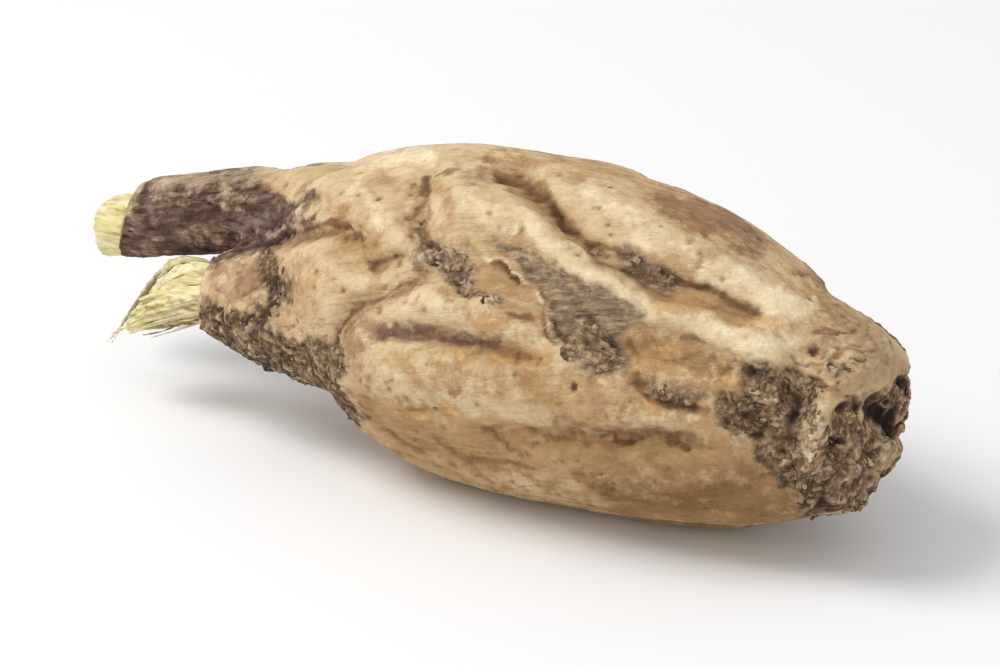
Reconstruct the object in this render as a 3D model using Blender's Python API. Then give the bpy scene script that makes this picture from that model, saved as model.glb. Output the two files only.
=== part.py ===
"""White behen root: one dried, forked taproot with two cut crown necks, lying on its flattened belly.

The long axis runs along X, with the necks at -X and the blunt root end at +X. The floor is at Z = 0.
The root is one solid. Its skin is joined from three tapering tubes, carved with furrows and swellings,
and then joined with the bare wood that shows at the cut ends of both necks.
The relief of the side that faces the viewer is drawn as strokes in photograph pixels. The relief of
the other sides is drawn as strokes along and round the root, over wrinkles from a noise that is
stretched along it.
"""

import math

import bmesh
import bpy
import numpy as np
from mathutils import Matrix, Vector, noise

MM = 0.001

# Driving sizes, in millimetres
AXIS_HEIGHT = 14.4  # the middle of the belly above the floor
SKIN_VOXEL = 0.55
SKIN_TRIANGLES = 9000

# The skin's colour, in linear light, and how rough it is
SKIN_COLOUR = (0.56, 0.4, 0.23)
SKIN_ROUGHNESS = 0.85

# Cross-sections in millimetres: x, y, z from the axis, then half width and half height
BODY = (
    (-24.0, -0.6, 3.4, 3.0, 2.6),
    (-20.5, -0.5, 2.9, 6.6, 5.9),
    (-16.0, -0.2, 2.3, 10.4, 9.8),
    (-10.0, 0.0, 0.8, 13.6, 13.2),
    (-3.0, 0.0, 0.1, 15.4, 15.3),
    (5.0, 0.0, 0.2, 15.8, 15.4),
    (12.0, 0.2, 0.1, 15.4, 15.2),
    (19.0, 0.2, -0.3, 14.3, 14.4),
    (25.0, 0.0, -0.9, 12.6, 13.1),
    (30.0, -0.2, -1.3, 11.0, 11.4),
    (34.0, -0.2, -1.5, 9.8, 9.6),
    (36.8, -0.2, -1.7, 9.2, 8.4),
    (38.4, -0.1, -1.8, 8.3, 7.4),
    (38.8, -0.1, -1.8, 6.9, 6.2),
    (39.1, -0.1, -1.8, 4.9, 4.6),
    (39.5, -0.1, -1.8, 1.7, 1.6),
)
LONG_NECK = (
    (-12.0, 0.4, 6.4, 6.6, 5.9),
    (-19.0, 0.8, 5.9, 5.4, 5.1),
    (-26.0, 1.5, 4.8, 4.4, 4.2),
    (-32.0, 1.8, 3.2, 4.1, 4.1),
    (-37.0, 2.1, 1.7, 4.1, 4.2),
    (-41.5, 2.4, 0.3, 4.1, 4.1),
    (-44.2, 2.5, -0.6, 3.9, 3.8),
)
FORE_NECK = (
    (-8.0, -0.8, 0.1, 11.6, 11.2),
    (-14.0, -1.8, -0.5, 9.5, 9.3),
    (-19.0, -2.8, -1.4, 7.5, 7.6),
    (-24.0, -3.8, -2.1, 5.4, 5.6),
    (-29.6, -4.6, -2.7, 3.4, 3.6),
)
LONG_CORE = (
    (-41.0, 2.4, 0.1, 2.9, 3.0),
    (-45.4, 2.6, -1.2, 3.1, 3.0),
    (-46.8, 2.6, -2.0, 2.9, 2.7),
    (-47.6, 2.6, -2.7, 2.3, 2.0),
)
FORE_CORE = (
    (-26.5, -4.3, -2.7, 2.5, 2.6),
    (-31.0, -4.8, -3.2, 2.4, 2.5),
    (-33.7, -5.1, -4.2, 2.0, 2.1),
    (-36.1, -5.2, -5.7, 1.4, 1.4),
    (-38.1, -5.3, -7.2, 0.8, 0.8),
)
RINGS_PER_SPAN = 4
SKIN_SIDES = 72
CORE_SIDES = 18

# Torn wood fibres of the fore neck: points from the sunk root to the tip, then the thickness at the root
FIBRES = (
    (((-29.0, -5.8, -1.4), (-34.0, -6.3, -2.9), (-37.6, -6.4, -6.0)), 1.1),
    (((-29.0, -3.2, -0.9), (-33.2, -3.2, -1.6), (-35.4, -3.4, -3.2)), 1.3),
    (((-29.0, -6.0, -3.8), (-34.6, -6.6, -5.0), (-39.6, -6.4, -8.2)), 1.1),
    (((-29.0, -4.4, -4.8), (-34.4, -4.8, -6.0), (-38.6, -5.0, -8.4)), 1.1),
    (((-29.0, -2.8, -3.4), (-34.0, -2.6, -4.6), (-37.4, -2.8, -6.9)), 1.2),
    (((-30.0, -2.9, -0.9), (-36.6, -2.6, -3.6), (-43.2, -2.4, -11.2)), 0.9),
)
FIBRE_SIDES = 5
FIBRE_STEPS = 7
FIBRE_TIP = 0.3  # thickness left at the tip, as a share of the root's

# The picture that the strokes are drawn on: it looks at the root from the front and the blunt end
VIEW_AZIMUTH = 33.0
VIEW_ELEVATION = 22.0
VIEW_DISTANCE = 450.0
PIXELS_PER_MM = 6.17
PICTURE_CENTRE = (275.0, 317.0)

# Strokes: half width and height in millimetres, then photograph pixels. A furrow's height is negative.
STROKES = (
    (3.8, 0.9, ((215, 232), (290, 238), (360, 266), (430, 306))),
    (2.0, 1.1, ((232, 262), (262, 258), (292, 268), (322, 294), (360, 316))),
    (2.2, 0.9, ((355, 316), (395, 328), (438, 338))),
    (1.2, -1.4, ((270, 236), (288, 243), (303, 260), (318, 277), (340, 288))),
    (1.6, -1.3, ((330, 284), (356, 296), (384, 301), (404, 311), (422, 320))),
    (2.5, -1.3, ((252, 280), (284, 294), (314, 311), (338, 330), (352, 346))),
    (1.5, -0.8, ((352, 330), (384, 338), (412, 350))),
    (1.8, 0.8, ((206, 312), (250, 314), (290, 330), (330, 352))),
    (1.2, -1.1, ((196, 322), (220, 327), (246, 329), (276, 336), (304, 343))),
    (1.0, -1.1, ((346, 348), (356, 360), (376, 367), (390, 372))),
    (2.7, 0.9, ((196, 350), (250, 352), (310, 366), (390, 376))),
    (1.1, -1.0, ((262, 384), (300, 382), (340, 387), (366, 386), (400, 396))),
    (0.8, -0.7, ((204, 378), (230, 392), (262, 398), (294, 403))),
    (1.0, -1.1, ((238, 230), (232, 246), (227, 258), (233, 273), (246, 290), (262, 309))),
    (0.9, -1.0, ((240, 291), (222, 300), (202, 309), (188, 318), (181, 338))),
    (0.8, -0.7, ((198, 293), (210, 286), (224, 284))),
    (0.9, -1.3, ((140, 276), (166, 269), (184, 266), (196, 276))),
    (2.0, 0.6, ((150, 250), (182, 246), (214, 262), (220, 286))),
    (1.8, 0.5, ((165, 290), (176, 305), (162, 322))),
    (2.0, 0.5, ((118, 330), (142, 326), (172, 344), (190, 362))),
    (1.4, -0.8, ((398, 352), (410, 372), (420, 392), (424, 412))),
    (1.2, -1.0, ((446, 330), (440, 350), (440, 372), (434, 396), (440, 416))),
    (1.2, 1.1, ((486, 344), (468, 352), (459, 364), (455, 384), (450, 410))),
    (1.0, -1.1, ((472, 362), (464, 380), (461, 404))),
    (1.3, 0.7, ((475, 376), (471, 392), (476, 408))),
    (1.5, -1.6, ((482, 366), (492, 372), (502, 377))),
    (1.5, 0.7, ((486, 388), (494, 396), (488, 406))),
)
STROKE_STEPS = 12
STROKE_FADE = 0.22  # share of a stroke's length over which each end fades

# Strokes of the back and the belly: half width and height in millimetres, then x in millimetres
# with the turn round the axis in degrees, from the top over the back
BACK_STROKES = (
    (1.5, -1.3, ((-15, 42), (-6, 54), (6, 64), (18, 60), (28, 68))),
    (2.6, 0.8, ((-10, 78), (2, 86), (14, 82), (26, 88))),
    (1.8, -1.5, ((-12, 96), (-2, 108), (10, 116), (20, 112), (30, 104))),
    (2.8, 0.7, ((-6, 130), (6, 138), (22, 132))),
    (1.1, -1.1, ((-14, 124), (-8, 136), (2, 146))),
    (1.3, -1.1, ((4, 156), (14, 162), (26, 152))),
    (0.9, -0.9, ((10, 76), (17, 98), (22, 94))),
    (1.0, -0.8, ((-17, 60), (-15, 90), (-17, 125))),
    (1.1, -0.9, ((33, 20), (31, 60), (33, 100), (31, 145), (33, 185))),
    (2.2, 0.9, ((7, 94), (9, 97), (11, 99))),
    (1.4, -1.2, ((-26, 30), (-20, 34), (-14, 22))),
)
BODY_RADIUS = 14.0
DEGREE_STEP = math.pi * BODY_RADIUS / 180

# Noise over the whole skin, stretched along the root
WRINKLE_LENGTH = 24.0
WRINKLE_WIDTH = 4.4
WRINKLE_SHARPNESS = 3.6
WRINKLE_DEPTH = 0.7
LUMP_SIZE = 8.0
LUMP_HEIGHT = 0.5
SEED_OFFSET = Vector((31.7, 12.4, 5.9))


def clear_scene():
    for obj in list(bpy.data.objects):
        bpy.data.objects.remove(obj)


def smooth_rows(rows, per_span):
    """The rows with per_span steps between each two, along a Catmull-Rom curve."""
    rows = np.array(rows, float)
    padded = np.vstack([2 * rows[0] - rows[1], rows, 2 * rows[-1] - rows[-2]])
    made = []
    for a, b, c, d in zip(padded, padded[1:], padded[2:], padded[3:]):
        for t in np.arange(per_span) / per_span:
            slope, bend = c - a, 2 * a - 5 * b + 4 * c - d
            made.append(b + 0.5 * t * (slope + t * (bend + t * (3 * b - a - 3 * c + d))))
    made.append(rows[-1])
    return np.array(made)


def skin_rings(name, rings):
    """A closed mesh object through rings of points in millimetres."""
    bm = bmesh.new()
    loops = [[bm.verts.new(Vector(point) * MM) for point in ring] for ring in rings]
    for near, far in zip(loops, loops[1:]):
        for k, vert in enumerate(near):
            n = (k + 1) % len(near)
            bm.faces.new((vert, near[n], far[n], far[k]))
    bm.faces.new(loops[0][::-1])
    bm.faces.new(loops[-1])
    bmesh.ops.recalc_face_normals(bm, faces=bm.faces)
    mesh = bpy.data.meshes.new(name)
    bm.to_mesh(mesh)
    bm.free()
    obj = bpy.data.objects.new(name, mesh)
    bpy.context.scene.collection.objects.link(obj)
    return obj


def tube(name, sections, sides):
    """A tube of upright ellipses through the sections."""
    turns = [2 * math.pi * k / sides for k in range(sides)]
    rings = [
        [
            (x, y + half_width * math.sin(turn), AXIS_HEIGHT + z + half_height * math.cos(turn))
            for turn in turns
        ]
        for x, y, z, half_width, half_height in smooth_rows(sections, RINGS_PER_SPAN)
    ]
    return skin_rings(name, rings)


def fibre(name, points, thickness):
    """A thin tapering splinter with its rings square to its path."""
    path = smooth_rows(points, FIBRE_STEPS)
    along = np.gradient(path, axis=0)
    rings = []
    for step, (point, way) in enumerate(zip(path, along)):
        way = Vector(way).normalized()
        side = way.cross(Vector((0, 1, 0))).normalized()
        over = way.cross(side)
        share = step / (len(path) - 1)
        radius = thickness / 2 * (1 - share * (1 - FIBRE_TIP))
        turns = [2 * math.pi * k / FIBRE_SIDES for k in range(FIBRE_SIDES)]
        centre = Vector(point) + Vector((0, 0, AXIS_HEIGHT))
        rings.append([centre + radius * (side * math.cos(t) + over * math.sin(t)) for t in turns])
    return skin_rings(name, rings)


def apply_modifiers(obj):
    """The object's mesh as its modifiers leave it, with the modifiers gone."""
    graph = bpy.context.evaluated_depsgraph_get()
    mesh = bpy.data.meshes.new_from_object(obj.evaluated_get(graph))
    obj.modifiers.clear()
    obj.data = mesh


def join_skin(tubes):
    """One even skin round the overlapping tubes, softened where they meet."""
    bm = bmesh.new()
    for obj in tubes:
        bm.from_mesh(obj.data)
        bpy.data.objects.remove(obj)
    mesh = bpy.data.meshes.new("white_behen_root")
    bm.to_mesh(mesh)
    bm.free()
    root = bpy.data.objects.new("white_behen_root", mesh)
    bpy.context.scene.collection.objects.link(root)
    remesh = root.modifiers.new("even skin", "REMESH")
    remesh.mode = "VOXEL"
    remesh.voxel_size = SKIN_VOXEL * MM
    soften = root.modifiers.new("soften", "SMOOTH")
    soften.factor = 0.5
    soften.iterations = 22
    apply_modifiers(root)
    return root


def view_axes():
    """Right, up and towards the viewer, for the picture plane."""
    a, e = math.radians(VIEW_AZIMUTH), math.radians(VIEW_ELEVATION)
    right = np.array((math.cos(a), math.sin(a), 0))
    back = np.array((math.sin(a) * math.cos(e), -math.cos(a) * math.cos(e), math.sin(e)))
    return right, np.cross(back, right), back


def on_picture(points):
    """Points in millimetres as photograph pixels."""
    right, up, back = view_axes()
    from_aim = points - np.array((0, 0, AXIS_HEIGHT))
    scale = PIXELS_PER_MM * VIEW_DISTANCE / (VIEW_DISTANCE - from_aim @ back)
    return np.stack(
        [PICTURE_CENTRE[0] + from_aim @ right * scale, PICTURE_CENTRE[1] - from_aim @ up * scale], axis=1
    )


def smoothstep(low, high, value):
    t = np.clip((value - low) / (high - low), 0, 1)
    return t * t * (3 - 2 * t)


def unrolled(points):
    """Points in millimetres as x and the way round the axis, laid flat."""
    turn = np.degrees(np.arctan2(points[:, 1], points[:, 2] - AXIS_HEIGHT)) % 360
    return np.stack([points[:, 0], turn * DEGREE_STEP], axis=1)


def stroke_height(places, scale, half_width, height, path):
    """How far each place is raised by one stroke, in millimetres, where a millimetre is scale units."""
    path = smooth_rows(path, STROKE_STEPS)
    away = np.linalg.norm(places[:, None] - path[None], axis=2) / scale
    nearest = away.argmin(axis=1)
    share = nearest / (len(path) - 1)
    fade = smoothstep(0, STROKE_FADE, np.minimum(share, 1 - share) + 0.04)
    return height * fade * np.exp(-((away.min(axis=1) / half_width) ** 2))


def wrinkle_height(point):
    """Lengthwise wrinkles and soft lumps."""
    x, y, z = point
    stretched = Vector((x / WRINKLE_LENGTH, y / WRINKLE_WIDTH, z / WRINKLE_WIDTH))
    lump = noise.noise(Vector(point) / LUMP_SIZE + SEED_OFFSET)
    crease = 1 - min(1.0, abs(noise.noise(stretched + SEED_OFFSET)) * WRINKLE_SHARPNESS)
    return LUMP_HEIGHT * lump - WRINKLE_DEPTH * crease**2


def carve(root):
    """Raises and furrows the skin along its normals."""
    mesh = root.data
    points = np.array([v.co for v in mesh.vertices]) / MM
    normals = np.array([n.vector for n in mesh.vertex_normals])
    seen = smoothstep(0.05, 0.35, normals @ view_axes()[2])
    pixels = on_picture(points)
    front = sum(stroke_height(pixels, PIXELS_PER_MM, *stroke) for stroke in STROKES)
    back = sum(
        stroke_height(unrolled(points), 1, half_width, height, [(x, turn * DEGREE_STEP) for x, turn in path])
        for half_width, height, path in BACK_STROKES
    )
    wrinkles = np.array([wrinkle_height(point) for point in points])
    off_floor = smoothstep(0.3, 2.5, points[:, 2])
    height = (seen * front + (1 - seen) * back + (1 - 0.8 * seen) * wrinkles) * off_floor
    for vert, point, normal, rise in zip(mesh.vertices, points, normals, height):
        vert.co = (point + normal * rise) * MM


def join_wood(root, pieces):
    """The bare wood of the cut necks, fused with the skin."""
    wood = bpy.data.collections.new("wood")
    for piece in pieces:
        bpy.context.scene.collection.objects.unlink(piece)
        wood.objects.link(piece)
    fuse = root.modifiers.new("fuse wood", "BOOLEAN")
    fuse.operation = "UNION"
    fuse.operand_type = "COLLECTION"
    fuse.collection = wood
    fuse.solver = "EXACT"
    bpy.context.scene.collection.children.link(wood)
    apply_modifiers(root)
    for piece in pieces:
        bpy.data.objects.remove(piece)
    bpy.data.collections.remove(wood)


def thin_out(root):
    """Fewer triangles where the skin is smooth."""
    root.data.calc_loop_triangles()
    thin = root.modifiers.new("thin out", "DECIMATE")
    thin.ratio = SKIN_TRIANGLES / len(root.data.loop_triangles)
    thin.use_collapse_triangulate = True
    apply_modifiers(root)


def flatten_belly(root):
    """The flat spot that the root rests on."""
    bm = bmesh.new()
    bm.from_mesh(root.data)
    bmesh.ops.bisect_plane(
        bm, geom=bm.verts[:] + bm.edges[:] + bm.faces[:], plane_co=(0, 0, 0), plane_no=(0, 0, 1), clear_inner=True
    )
    bmesh.ops.holes_fill(bm, edges=[edge for edge in bm.edges if edge.is_boundary])
    bm.to_mesh(root.data)
    bm.free()


def centre(root):
    """Moves the mesh so that the middle of its box is over the origin and its belly is on the floor."""
    points = np.array([v.co for v in root.data.vertices])
    low, high = points.min(axis=0), points.max(axis=0)
    middle = (low + high) / 2
    root.data.transform(Matrix.Translation((-middle[0], -middle[1], -low[2])))
    print("root measures", (high - low).round(4), "metres, moved by", -middle[:2].round(5))


def paint(root):
    """Dry root skin: dull, pale tan, with darker cork in the furrows left to the finish."""
    skin = bpy.data.materials.new("dry root skin")
    skin.use_nodes = True
    shader = skin.node_tree.nodes["Principled BSDF"]
    shader.inputs["Base Color"].default_value = (*SKIN_COLOUR, 1)
    shader.inputs["Roughness"].default_value = SKIN_ROUGHNESS
    shader.inputs["Metallic"].default_value = 0
    root.data.materials.clear()
    root.data.materials.append(skin)


def main():
    clear_scene()
    skin = [
        tube("body", BODY, SKIN_SIDES),
        tube("long_neck", LONG_NECK, SKIN_SIDES),
        tube("fore_neck", FORE_NECK, SKIN_SIDES),
    ]
    root = join_skin(skin)
    carve(root)
    thin_out(root)
    wood = [tube("long_core", LONG_CORE, CORE_SIDES), tube("fore_core", FORE_CORE, CORE_SIDES)]
    wood += [fibre(f"fibre_{i}", points, thickness) for i, (points, thickness) in enumerate(FIBRES)]
    join_wood(root, wood)
    flatten_belly(root)
    centre(root)
    paint(root)
    root.data.shade_smooth()


main()
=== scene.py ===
# White behen root: one dried, forked taproot with two cut necks, finished for a close look.
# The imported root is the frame. A finer skin, bare wood and torn fibres are modelled over it.
import math
import random

import bpy
import numpy as np
from mathutils import Euler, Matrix, Vector, kdtree, noise


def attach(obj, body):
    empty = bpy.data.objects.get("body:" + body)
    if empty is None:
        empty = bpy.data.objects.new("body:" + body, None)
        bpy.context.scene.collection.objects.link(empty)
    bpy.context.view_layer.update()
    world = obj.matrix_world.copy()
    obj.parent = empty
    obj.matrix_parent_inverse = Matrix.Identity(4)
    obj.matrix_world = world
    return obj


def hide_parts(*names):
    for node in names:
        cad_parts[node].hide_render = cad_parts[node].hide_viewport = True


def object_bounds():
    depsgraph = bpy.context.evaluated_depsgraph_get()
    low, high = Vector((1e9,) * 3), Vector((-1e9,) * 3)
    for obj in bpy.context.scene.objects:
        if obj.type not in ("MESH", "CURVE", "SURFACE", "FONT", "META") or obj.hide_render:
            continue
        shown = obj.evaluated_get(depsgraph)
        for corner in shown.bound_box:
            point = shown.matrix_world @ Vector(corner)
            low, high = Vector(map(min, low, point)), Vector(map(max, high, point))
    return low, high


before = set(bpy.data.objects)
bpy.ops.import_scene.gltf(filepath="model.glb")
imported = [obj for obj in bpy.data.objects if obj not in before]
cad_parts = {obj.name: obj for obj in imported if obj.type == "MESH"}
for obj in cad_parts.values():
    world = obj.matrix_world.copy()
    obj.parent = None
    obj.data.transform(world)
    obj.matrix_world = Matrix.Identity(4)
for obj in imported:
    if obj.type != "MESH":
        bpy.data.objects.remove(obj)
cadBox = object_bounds()
mm = 0.001
boxLow, boxHigh = (np.array(corner) / mm for corner in cadBox)

# How the photograph's pixels fall on the root: the camera stands off its front and its blunt end
photo = {
    "azimuth": 33,  # degrees, where 0 looks along +Y
    "elevation": 22,
    "distance": 450,  # mm
    "pixelsPerMm": 6.17,
    "aimPixel": (275, 317),
    "aimPoint": (3.79, 0.42, 14.4),  # mm
}


def viewAxes():
    a, e = math.radians(photo["azimuth"]), math.radians(photo["elevation"])
    right = np.array((math.cos(a), math.sin(a), 0))
    back = np.array((math.sin(a) * math.cos(e), -math.cos(a) * math.cos(e), math.sin(e)))
    return right, np.cross(back, right), back


def onPhoto(points):
    # points in mm become pixels of the photograph, with its perspective
    right, up, back = viewAxes()
    fromAim = points - np.array(photo["aimPoint"])
    scale = photo["pixelsPerMm"] * photo["distance"] / (photo["distance"] - fromAim @ back)
    return np.stack(
        [photo["aimPixel"][0] + fromAim @ right * scale, photo["aimPixel"][1] - fromAim @ up * scale], axis=1
    )


def fromPhoto(pixel, y):
    # the point in mm that a pixel of the photograph shows on the upright plane at y
    right, up, back = viewAxes()
    aim = np.array(photo["aimPoint"])
    scale = photo["pixelsPerMm"]
    for _ in range(4):
        across, rise = (pixel[0] - photo["aimPixel"][0]) / scale, (photo["aimPixel"][1] - pixel[1]) / scale
        x = (across - (y - aim[1]) * right[1]) / right[0]
        place = np.array((x, y - aim[1], (rise - x * up[0] - (y - aim[1]) * up[1]) / up[2]))
        scale = photo["pixelsPerMm"] * photo["distance"] / (photo["distance"] - place @ back)
    return aim + place


def smoothStep(low, high, value):
    t = np.clip((value - low) / (high - low), 0, 1)
    return t * t * (3 - 2 * t)


# Noise for the relief. noise_vector's own offsets come from a seed too, or else from the time of day
noise.seed_set(5)
lumpy = {
    "seedStep": 17.3,  # lumps between one seed and the next
    "turn": (0.6, 0.8, 0.3),  # radians, so that crumbs don't lie in rows along the axes
    "warp": 0.8,  # of a crumb's size
    "warpStep": 31.7,
    "finerSize": 0.46,
    "finerShare": 0.6,
    "creaseSharpness": 4,
}


def noiseAt(points, sizes, seed=0):
    # soft noise from about -1 to 1, with lumps of the given size in mm, or one size for each axis
    places = points / np.array(sizes) + lumpy["seedStep"] * seed
    return np.array([noise.noise(place) for place in places.tolist()])


def ridgesAt(points, sizes, seed=0):
    # 1 along thin winding creases, 0 between them
    return 1 - np.clip(np.abs(noiseAt(points, sizes, seed)) * lumpy["creaseSharpness"], 0, 1)


def rubbleAt(points, size, seed=0):
    # crumbs of about the given size in mm, warped so that they don't fall in rows
    turned = points @ np.array(Euler(lumpy["turn"]).to_matrix())
    places = turned / size * lumpy["warp"] + lumpy["warpStep"] * seed
    warp = np.array([noise.noise_vector(place)[:] for place in places.tolist()])
    turned = turned + lumpy["warp"] * size * warp
    finer = noiseAt(turned, size * lumpy["finerSize"], seed + 1)
    return noiseAt(turned, size, seed) + lumpy["finerShare"] * finer


def makeActive(piece):
    bpy.ops.object.select_all(action="DESELECT")
    piece.select_set(True)
    bpy.context.view_layer.objects.active = piece


def applyModifier(piece, kind, **settings):
    makeActive(piece)
    modifier = piece.modifiers.new(kind.lower(), kind)
    for name, value in settings.items():
        setattr(modifier, name, value)
    bpy.ops.object.modifier_apply(modifier=modifier.name)


def treeOf(places):
    # finds the nearest of many places
    tree = kdtree.KDTree(len(places))
    for i, place in enumerate(places):
        tree.insert(place, i)
    tree.balance()
    return tree


# The skin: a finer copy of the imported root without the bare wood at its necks
skinShape = {
    "voxel": 0.31,  # mm
    "smoothing": 14,
    # where a neck's bark ends: a place in mm and the way the end faces
    "longNeckCut": ((-39.4, 2.85, 14.3), (-0.952, -0.19, 0.238)),
    "shortNeckCut": ((-25.3, -4.1, 11.8), (-0.969, -0.242, -0.048)),
    "cutReach": 6,  # mm behind a cut that the saw may touch
    "neckDivide": 22.3,  # y + z in mm between the necks where x is 0
    "divideSlope": 0.35,
}


def onShortNeck(x, y, z):
    return y + z < skinShape["neckDivide"] + skinShape["divideSlope"] * x


def onLongNeck(x, y, z):
    return not onShortNeck(x, y, z)


def copyRoot(name):
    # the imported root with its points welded, as a piece of its own
    piece = bpy.data.objects.new(name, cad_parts["white_behen_root"].data.copy())
    bpy.context.collection.objects.link(piece)
    makeActive(piece)
    bpy.ops.object.mode_set(mode="EDIT")
    bpy.ops.mesh.select_mode(type="FACE")
    bpy.ops.mesh.select_all(action="SELECT")
    bpy.ops.mesh.remove_doubles(threshold=0.0001 * mm)
    bpy.ops.mesh.select_all(action="DESELECT")
    bpy.ops.object.mode_set(mode="OBJECT")
    return piece


def sawOff(piece, cut, side):
    # cuts one neck off and closes the cut
    place, direction = cut
    makeActive(piece)
    for face in piece.data.polygons:
        centre = face.center / mm
        face.select = centre.x < place[0] + skinShape["cutReach"] and side(*centre)
    bpy.ops.object.mode_set(mode="EDIT")
    bpy.ops.mesh.bisect(plane_co=Vector(place) * mm, plane_no=direction, use_fill=True, clear_outer=True)
    bpy.ops.object.mode_set(mode="OBJECT")


def makeSkin():
    piece = copyRoot("root_skin")
    sawOff(piece, skinShape["shortNeckCut"], onShortNeck)
    sawOff(piece, skinShape["longNeckCut"], onLongNeck)
    applyModifier(piece, "REMESH", mode="VOXEL", voxel_size=skinShape["voxel"] * mm)
    applyModifier(piece, "SMOOTH", factor=0.5, iterations=skinShape["smoothing"])
    return piece


skin = makeSkin()
mesh = skin.data
print("skin copied:", len(mesh.vertices), "points")


def pointsOf(mesh):
    places = np.empty(len(mesh.vertices) * 3, np.float32)
    mesh.vertices.foreach_get("co", places)
    return places.reshape(-1, 3).astype(float) / mm


def normalsOf(mesh):
    normals = np.empty(len(mesh.vertices) * 3, np.float32)
    mesh.vertex_normals.foreach_get("vector", normals)
    return normals.reshape(-1, 3).astype(float)


def setPoints(mesh, points):
    mesh.vertices.foreach_set("co", (points * mm).astype(np.float32).ravel())
    mesh.update()


brush = {
    "softness": 2.0,  # how much softer than drawn a patch's edge is
    "width": 1.3,  # how much wider than drawn a stroke is
    "reach": 2.6,  # half widths past which nothing of a stroke is left
    "tail": 0.16,  # the share of a stroke over which its ends fade
    "tip": 0.05,  # the share that is there at its very end
}


def drawn(path):
    # a path written as "x,y x,y x,y"
    return np.array([point.split(",") for point in path.split()], float)


def smoothPath(path, steps=10):
    # a Catmull-Rom curve through the points of a path
    rows = np.array(path, float)
    padded = np.vstack([2 * rows[0] - rows[1], rows, 2 * rows[-1] - rows[-2]])
    made = []
    for a, b, c, d in zip(padded, padded[1:], padded[2:], padded[3:]):
        for t in np.arange(steps) / steps:
            made.append(b + 0.5 * t * (c - a + t * (2 * a - 5 * b + 4 * c - d + t * (3 * b - a - 3 * c + d))))
    made.append(rows[-1])
    return np.array(made)


def strokeAt(places, halfWidth, path):
    # 1 on a stroke's path, falling to 0 within about two half widths and towards its ends
    path = smoothPath(path)
    reach = halfWidth * brush["reach"]
    near = np.all((places > path.min(axis=0) - reach) & (places < path.max(axis=0) + reach), axis=1)
    value = np.zeros(len(places))
    if near.any():
        away = np.linalg.norm(places[near][:, None] - path[None], axis=2)
        share = away.argmin(axis=1) / (len(path) - 1)
        fade = smoothStep(0, brush["tail"], np.minimum(share, 1 - share) + brush["tip"])
        value[near] = fade * np.exp(-((away.min(axis=1) / halfWidth) ** 2))
    return value


def patchAt(places, softness, corners):
    # 1 inside a patch's outline, 0 outside, with a soft edge
    reach = softness * 2
    near = np.all((places > corners.min(axis=0) - reach) & (places < corners.max(axis=0) + reach), axis=1)
    value = np.zeros(len(places))
    if near.any():
        here = places[near]
        away = np.full(len(here), np.inf)
        inside = np.zeros(len(here), bool)
        for a, b in zip(corners, np.roll(corners, -1, axis=0)):
            along = np.clip(((here - a) @ (b - a)) / ((b - a) @ (b - a)), 0, 1)
            away = np.minimum(away, np.linalg.norm(here - (a + along[:, None] * (b - a)), axis=1))
            crossing = (a[1] > here[:, 1]) != (b[1] > here[:, 1])
            slope = (b[0] - a[0]) / (b[1] - a[1] if b[1] != a[1] else 1)
            inside ^= crossing & (here[:, 0] < slope * (here[:, 1] - a[1]) + a[0])
        value[near] = smoothStep(-softness, softness, np.where(inside, away, -away))
    return value


bodyRadius = 14.0  # mm


def lengthRound(turn):
    # a turn round the root in degrees, as a length in mm on its skin
    return turn * math.pi * bodyRadius / 180


def roundTheRoot(points):
    # x, and the length round the root from its top over its back
    axisY, axisZ = photo["aimPoint"][1:]
    turn = np.degrees(np.arctan2(points[:, 1] - axisY, points[:, 2] - axisZ)) % 360
    return np.stack([points[:, 0], lengthRound(turn)], axis=1)


def backPath(path):
    # x in mm and a turn in degrees, as places on the skin in mm
    places = drawn(path)
    places[:, 1] = lengthRound(places[:, 1])
    return places


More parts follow.
